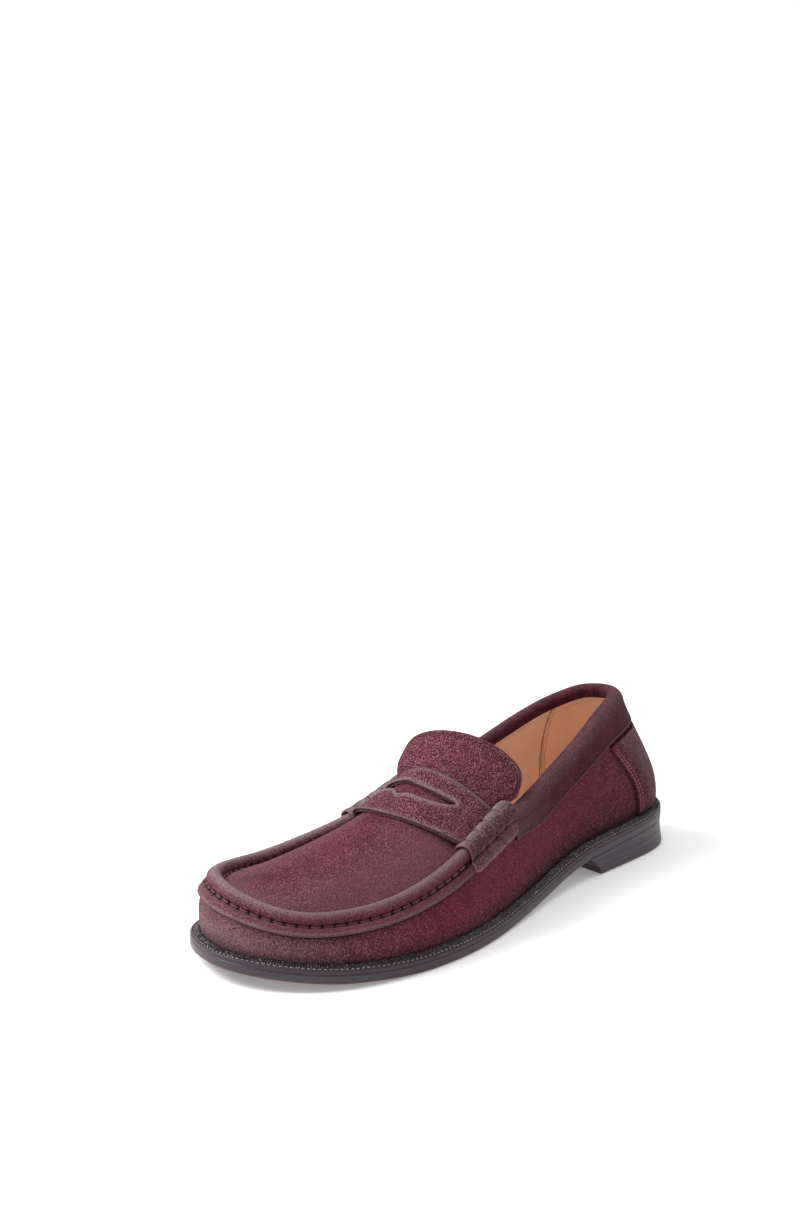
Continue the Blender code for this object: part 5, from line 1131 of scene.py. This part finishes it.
def block(name, levels, mat, nodes, x1=None, n=150, m=12, front_curve=0.0, red=(), dark=(), sides=None, red_from=None):
    """Solid cut to the outline. levels: (inset, height function, front cut moved back by), bottom to top."""
    sides = sides or sides_at
    V, loops, base, R, D = [], [], 0, [], []
    caps = []
    for li, (inset, zf, back) in enumerate(levels):
        _, _, a, b0 = sides(0.0, inset)
        b = b0 if x1 is None else x1
        lin = np.linspace(0, 1, n)
        w = (0.5 - 0.5 * np.cos(math.pi * lin)) if x1 is None else (1 - np.cos(lin * math.pi / 2))
        xs = a + (b - a) * w
        lat, med, _, _ = sides(xs, inset)
        rows = []
        for i, x in enumerate(xs):
            tip = i == 0 or (i == n - 1 and x1 is None)
            f = (x - a) / (b - a); row = []
            for k in ([m / 2] if tip else range(m + 1)):
                u = k / m
                xx = x - front_curve * f**6 * 4 * u * (1 - u)
                xx = a + (xx - a) * (1 - back / (b - a))
                V.append((xx, lat[i] + (med[i] - lat[i]) * u, float(zf(x))))
                R.append((red[li] if red else 0.0) * (1.0 if red_from is None else float(smooth01(xx, red_from, red_from + 3.0)))); D.append(dark[li] if dark else 0.0)
                row.append(len(V) - 1)
            rows.append(row)
        caps.append(rows)
        o = [r[0] for r in rows] + rows[-1][1:] + [r[-1] for r in rows[:-1][::-1] if len(r) > 1]
        loops.append(o)
    F = []
    for rows, up in ((caps[-1], True), (caps[0], False)):
        for r, q in zip(rows[:-1], rows[1:]):
            if len(r) == 1:
                fs = [(r[0], q[k + 1], q[k]) for k in range(len(q) - 1)]
            elif len(q) == 1:
                fs = [(r[k], r[k + 1], q[0]) for k in range(len(r) - 1)]
            else:
                fs = [(r[k], r[k + 1], q[k + 1], q[k]) for k in range(len(r) - 1)]
            F += [f if up else f[::-1] for f in fs]
    for lo, hi in zip(loops[:-1], loops[1:]):
        N = len(lo)
        F += [(hi[i], hi[(i + 1) % N], lo[(i + 1) % N], lo[i]) for i in range(N)]
    # the middle levels only need their rims
    V = np.array(V); keep = np.zeros(len(V), bool)
    keep[[a for f in F for a in f]] = True
    new = np.cumsum(keep) - 1
    F = [tuple(int(new[a]) for a in f) for f in F]
    z = np.zeros(int(keep.sum()))
    return finish_mesh(name, V[keep], F, mat, {"red": np.array(R)[keep], "dark": np.array(D)[keep], "wear": z, "edge": z}, "shoe", nodes)


zl = lambda h: (lambda x: f_zb(x) + h)
block("outsole_edge", [(1.0, zl(0.0), 0), (0.45, zl(0.04), 0), (0.16, zl(0.20), 0), (0.03, zl(0.50), 0), (0.0, zl(0.52), 0), (-0.02, zl(0.95), 0), (-0.05, zl(2.0), 0), (-0.02, zl(3.2), 0), (0.0, zl(4.13), 0), (0.3, zl(4.14), 0)],
      M_EDGE, ["outsole"], n=190, red=(0.35, 0.8, 1.0, 1.0, 0.9, 0.0, 0, 0, 0, 0), red_from=BREAST_TOP_X + 2.0)
def heel_inset(z):
    return 0.75 - 0.95 * max(0.0, 1 - z / 11.0)
zc = lambda h: (lambda x: h + 0 * x)
TP = TOP_PIECE_T + 0.12
block("heel_top_piece_body", [(heel_inset(0) + 0.9, zc(0.0), 9.0), (heel_inset(0) + 0.3, zc(0.06), 9.0), (heel_inset(0.3), zc(0.35), 8.9), (heel_inset(0.8), zc(0.8), 8.8), (heel_inset(1), zc(0.95), 8.8), (heel_inset(2.5), zc(2.5), 7.8), (heel_inset(4), zc(TP - 0.02), 6.6), (heel_inset(4) + 0.03, zc(TP), 6.62)],
      M_EDGE, ["heel_top_piece"], x1=BREAST_TOP_X, n=110, front_curve=2.5, red=(0.2, 0.7, 1.0, 1.0, 0.0, 0, 0, 0), dark=(0.5, 0.2, 0, 0, 0, 0, 0, 0))
L1 = TP + LIFT_T + 0.30
block("heel_lift_body", [(heel_inset(4) + 0.03, zc(TP), 6.6), (heel_inset(4), zc(TP + 0.02), 6.58), (heel_inset(5.8), zc(TP + 1.6), 4.9), (heel_inset(7.3), zc(L1 - 0.02), 3.5), (heel_inset(7.3) + 0.03, zc(L1), 3.5)],
      M_EDGE, ["heel_lift"], x1=BREAST_TOP_X, n=110, front_curve=2.5, dark=(0, 0, 0, 0, 0))
block("heel_wedge_body", [(heel_inset(7.3) + 0.03, zc(L1), 3.48), (heel_inset(7.3), zc(L1 + 0.02), 3.46), (heel_inset(9.0) * 0.9, lambda x: L1 + (float(f_zb(x)) - L1) * 0.5, 1.6), (0.05, lambda x: float(f_zb(x)) - 0.10, 0.0), (0.08, lambda x: float(f_zb(x)) - 0.01, 0.0)],
      M_EDGE, ["heel_wedge"], x1=BREAST_TOP_X, n=110, front_curve=2.5, dark=(0, 0, 0, 0, 0))
# nail heads: low domes set in the top piece
NAILS = [(14.0, 0.0), (30.0, 19.0), (30.0, -19.0), (60.0, 19.0), (60.0, -19.0)]
for q, (x, y) in enumerate(NAILS):
    th = np.linspace(0, 2 * math.pi, 28, endpoint=False)
    rr = [(0.25, -0.05), (0.7, -0.02), (1.0, 0.05), (1.12, 0.18), (1.12, 0.6), (1.05, 3.0)]
    R = np.array([[(x + r * math.cos(a), y + r * math.sin(a), z) for a in th] for r, z in rr])
    V = R.reshape(-1, 3); z = np.zeros(len(V))
    F = [f[::-1] for f in tube(R)]
    finish_mesh(f"nail_head_{q + 1}", V, F, M_BRASS, {"dark": z, "edge": z, "wear": z, "red": z}, "shoe", [f"heel_nail_{q + 1}"])

# ------------------------------------------------------------------ sock lining, cut to meet the side linings
Z_SOCK = OUTSOLE_T + GAP + UPPER_T + 2 * GAP + 3.4 + GAP
_ts = np.linspace(0.0, 0.45, 90)
_ss = np.linspace(0, PER, 1201)[:-1]
_g = wall_n(_ss[:, None] + 0 * _ts[None], _ts[None] + 0 * _ss[:, None], -(D2 + LINING_T + 0.75))
_h = _g[..., 2] - (f_zb(_g[..., 0]) + Z_SOCK)
_k = np.clip(np.argmax(_h > 0, 1), 1, len(_ts) - 1)
_r = np.arange(len(_ss)); _w = np.clip(-_h[_r, _k - 1] / (_h[_r, _k] - _h[_r, _k - 1] + 1e-9), 0, 1)[:, None]
_rim = (_g[_r, _k - 1] * (1 - _w) + _g[_r, _k] * _w)[:, :2]
_rim = (_rim + np.roll(_rim, 1, 0) + np.roll(_rim, -1, 0)) / 3
def sock_sides(x, inset):
    nn = unit(np.c_[np.roll(_rim, -1, 0) - np.roll(_rim, 1, 0), 0 * _rim[:, :1]])[:, [1, 0]] * np.array([-1.0, 1.0])
    cen = _rim.mean(0)
    if ((_rim - cen) * nn).sum() < 0:
        nn = -nn
    p = _rim - nn * inset
    k0, k1 = np.argmin(p[:, 0]), np.argmax(p[:, 0])
    ring = lambda a, b: p[a:b + 1] if a <= b else np.vstack([p[a:], p[:b + 1]])
    A_, B_ = ring(k0, k1), ring(k1, k0)[::-1]
    ia, ib = np.interp(x, A_[:, 0], A_[:, 1]), np.interp(x, B_[:, 0], B_[:, 1])
    return np.maximum(ia, ib), np.minimum(ia, ib), p[k0, 0], p[k1, 0]
block("sock_skin", [(0.5, lambda x: f_zb(x) + Z_SOCK - 1.0, 0), (0.0, lambda x: f_zb(x) + Z_SOCK - 0.8, 0), (0.0, lambda x: f_zb(x) + Z_SOCK - 0.25, 0), (0.12, lambda x: f_zb(x) + Z_SOCK - 0.08, 0), (0.4, lambda x: f_zb(x) + Z_SOCK, 0)],
      M_SOCK, ["sock_lining"], n=150, m=20, sides=sock_sides)

# ------------------------------------------------------------------ carried-over inner pieces
for node, mat in (("cork_filler", M_CORK), ("heel_seat_filler", M_BOARD), ("shank", M_STEEL), ("insole", M_BOARD),
                  ("heel_counter", M_BOARD), ("toe_puff", M_BOARD), ("interlining_outer", M_BOARD), ("interlining_inner", M_BOARD), ("piping_cord", M_CORD)):
    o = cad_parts[node]
    for sl_m in o.material_slots:
        sl_m.material = mat

# ------------------------------------------------------------------ stage and light
def flat_mesh(name, size, z, mat):
    me = bpy.data.meshes.new(name)
    me.from_pydata([(-size, -size, z), (size, -size, z), (size, size, z), (-size, size, z)], [], [(0, 1, 2, 3)])
    me.materials.append(mat)
    o = bpy.data.objects.new(name, me)
    bpy.context.scene.collection.objects.link(o)
    return o
k = Mat("floor_pale", rough=0.75, spec=0.15)
fl = k.mix(k.range(k.noise(0.004, 2, 0.5), 0.3, 0.7), (0.90, 0.90, 0.90), (0.93, 0.93, 0.93))
floor = flat_mesh("floor", 30.0, -0.0003, k.done(fl))
# the floor glows: its emission rises from 0.2 near the object to 0.75 away from it, painted light that lightens the
# shadows by the object and makes the far floor a white backdrop
nt = floor.data.materials[0].node_tree
bs = next(n for n in nt.nodes if n.type == "BSDF_PRINCIPLED")
pos = nt.nodes.new("ShaderNodeNewGeometry")
dist = nt.nodes.new("ShaderNodeVectorMath"); dist.operation = "LENGTH"
nt.links.new(pos.outputs["Position"], dist.inputs[0])
ramp = nt.nodes.new("ShaderNodeMapRange"); ramp.interpolation_type = "SMOOTHSTEP"
for q, v in ((1, 0.2), (2, 1.5), (3, 0.20), (4, 0.75)):
    ramp.inputs[q].default_value = v
nt.links.new(dist.outputs["Value"], ramp.inputs[0])
bs.inputs["Emission Color"].default_value = (1, 1, 1, 1)
nt.links.new(ramp.outputs[0], bs.inputs["Emission Strength"])
world = bpy.data.worlds.new("studio")
bpy.context.scene.world = world
world.use_nodes = True
wt = world.node_tree
bg = wt.nodes["Background"]
bg.inputs["Color"].default_value = (1.0, 1.0, 1.0, 1)
tc = wt.nodes.new("ShaderNodeTexCoord"); sep = wt.nodes.new("ShaderNodeSeparateXYZ")
wt.links.new(tc.outputs["Generated"], sep.inputs[0])
wr = wt.nodes.new("ShaderNodeMapRange"); wr.interpolation_type = "SMOOTHSTEP"
for q, v in ((1, 0.30), (2, 0.62), (3, 1.03), (4, 0.38)):
    wr.inputs[q].default_value = v
wt.links.new(sep.outputs["Z"], wr.inputs[0])
wt.links.new(wr.outputs[0], bg.inputs["Strength"])
def area(name, at, aim, size, power, size_y=None):
    d = bpy.data.lights.new(name, "AREA")
    d.energy = power; d.size = size
    if size_y:
        d.shape = "RECTANGLE"; d.size_y = size_y
    o = bpy.data.objects.new(name, d)
    o.location = at
    o.rotation_euler = (Vector(at) - Vector(aim)).to_track_quat("Z", "Y").to_euler()
    bpy.context.scene.collection.objects.link(o)
    return o
area("key_overhead", (0.80, -0.84, 1.22), (0.02, 0.0, 0.03), 1.0, 33.0, 0.85)
area("top_soft", (-0.10, 0.0, 1.5), (0.0, 0.0, 0.03), 1.0, 8.0, 1.0)
bpy.context.scene.view_settings.view_transform = "Standard"
bpy.context.scene.view_settings.look = "None"
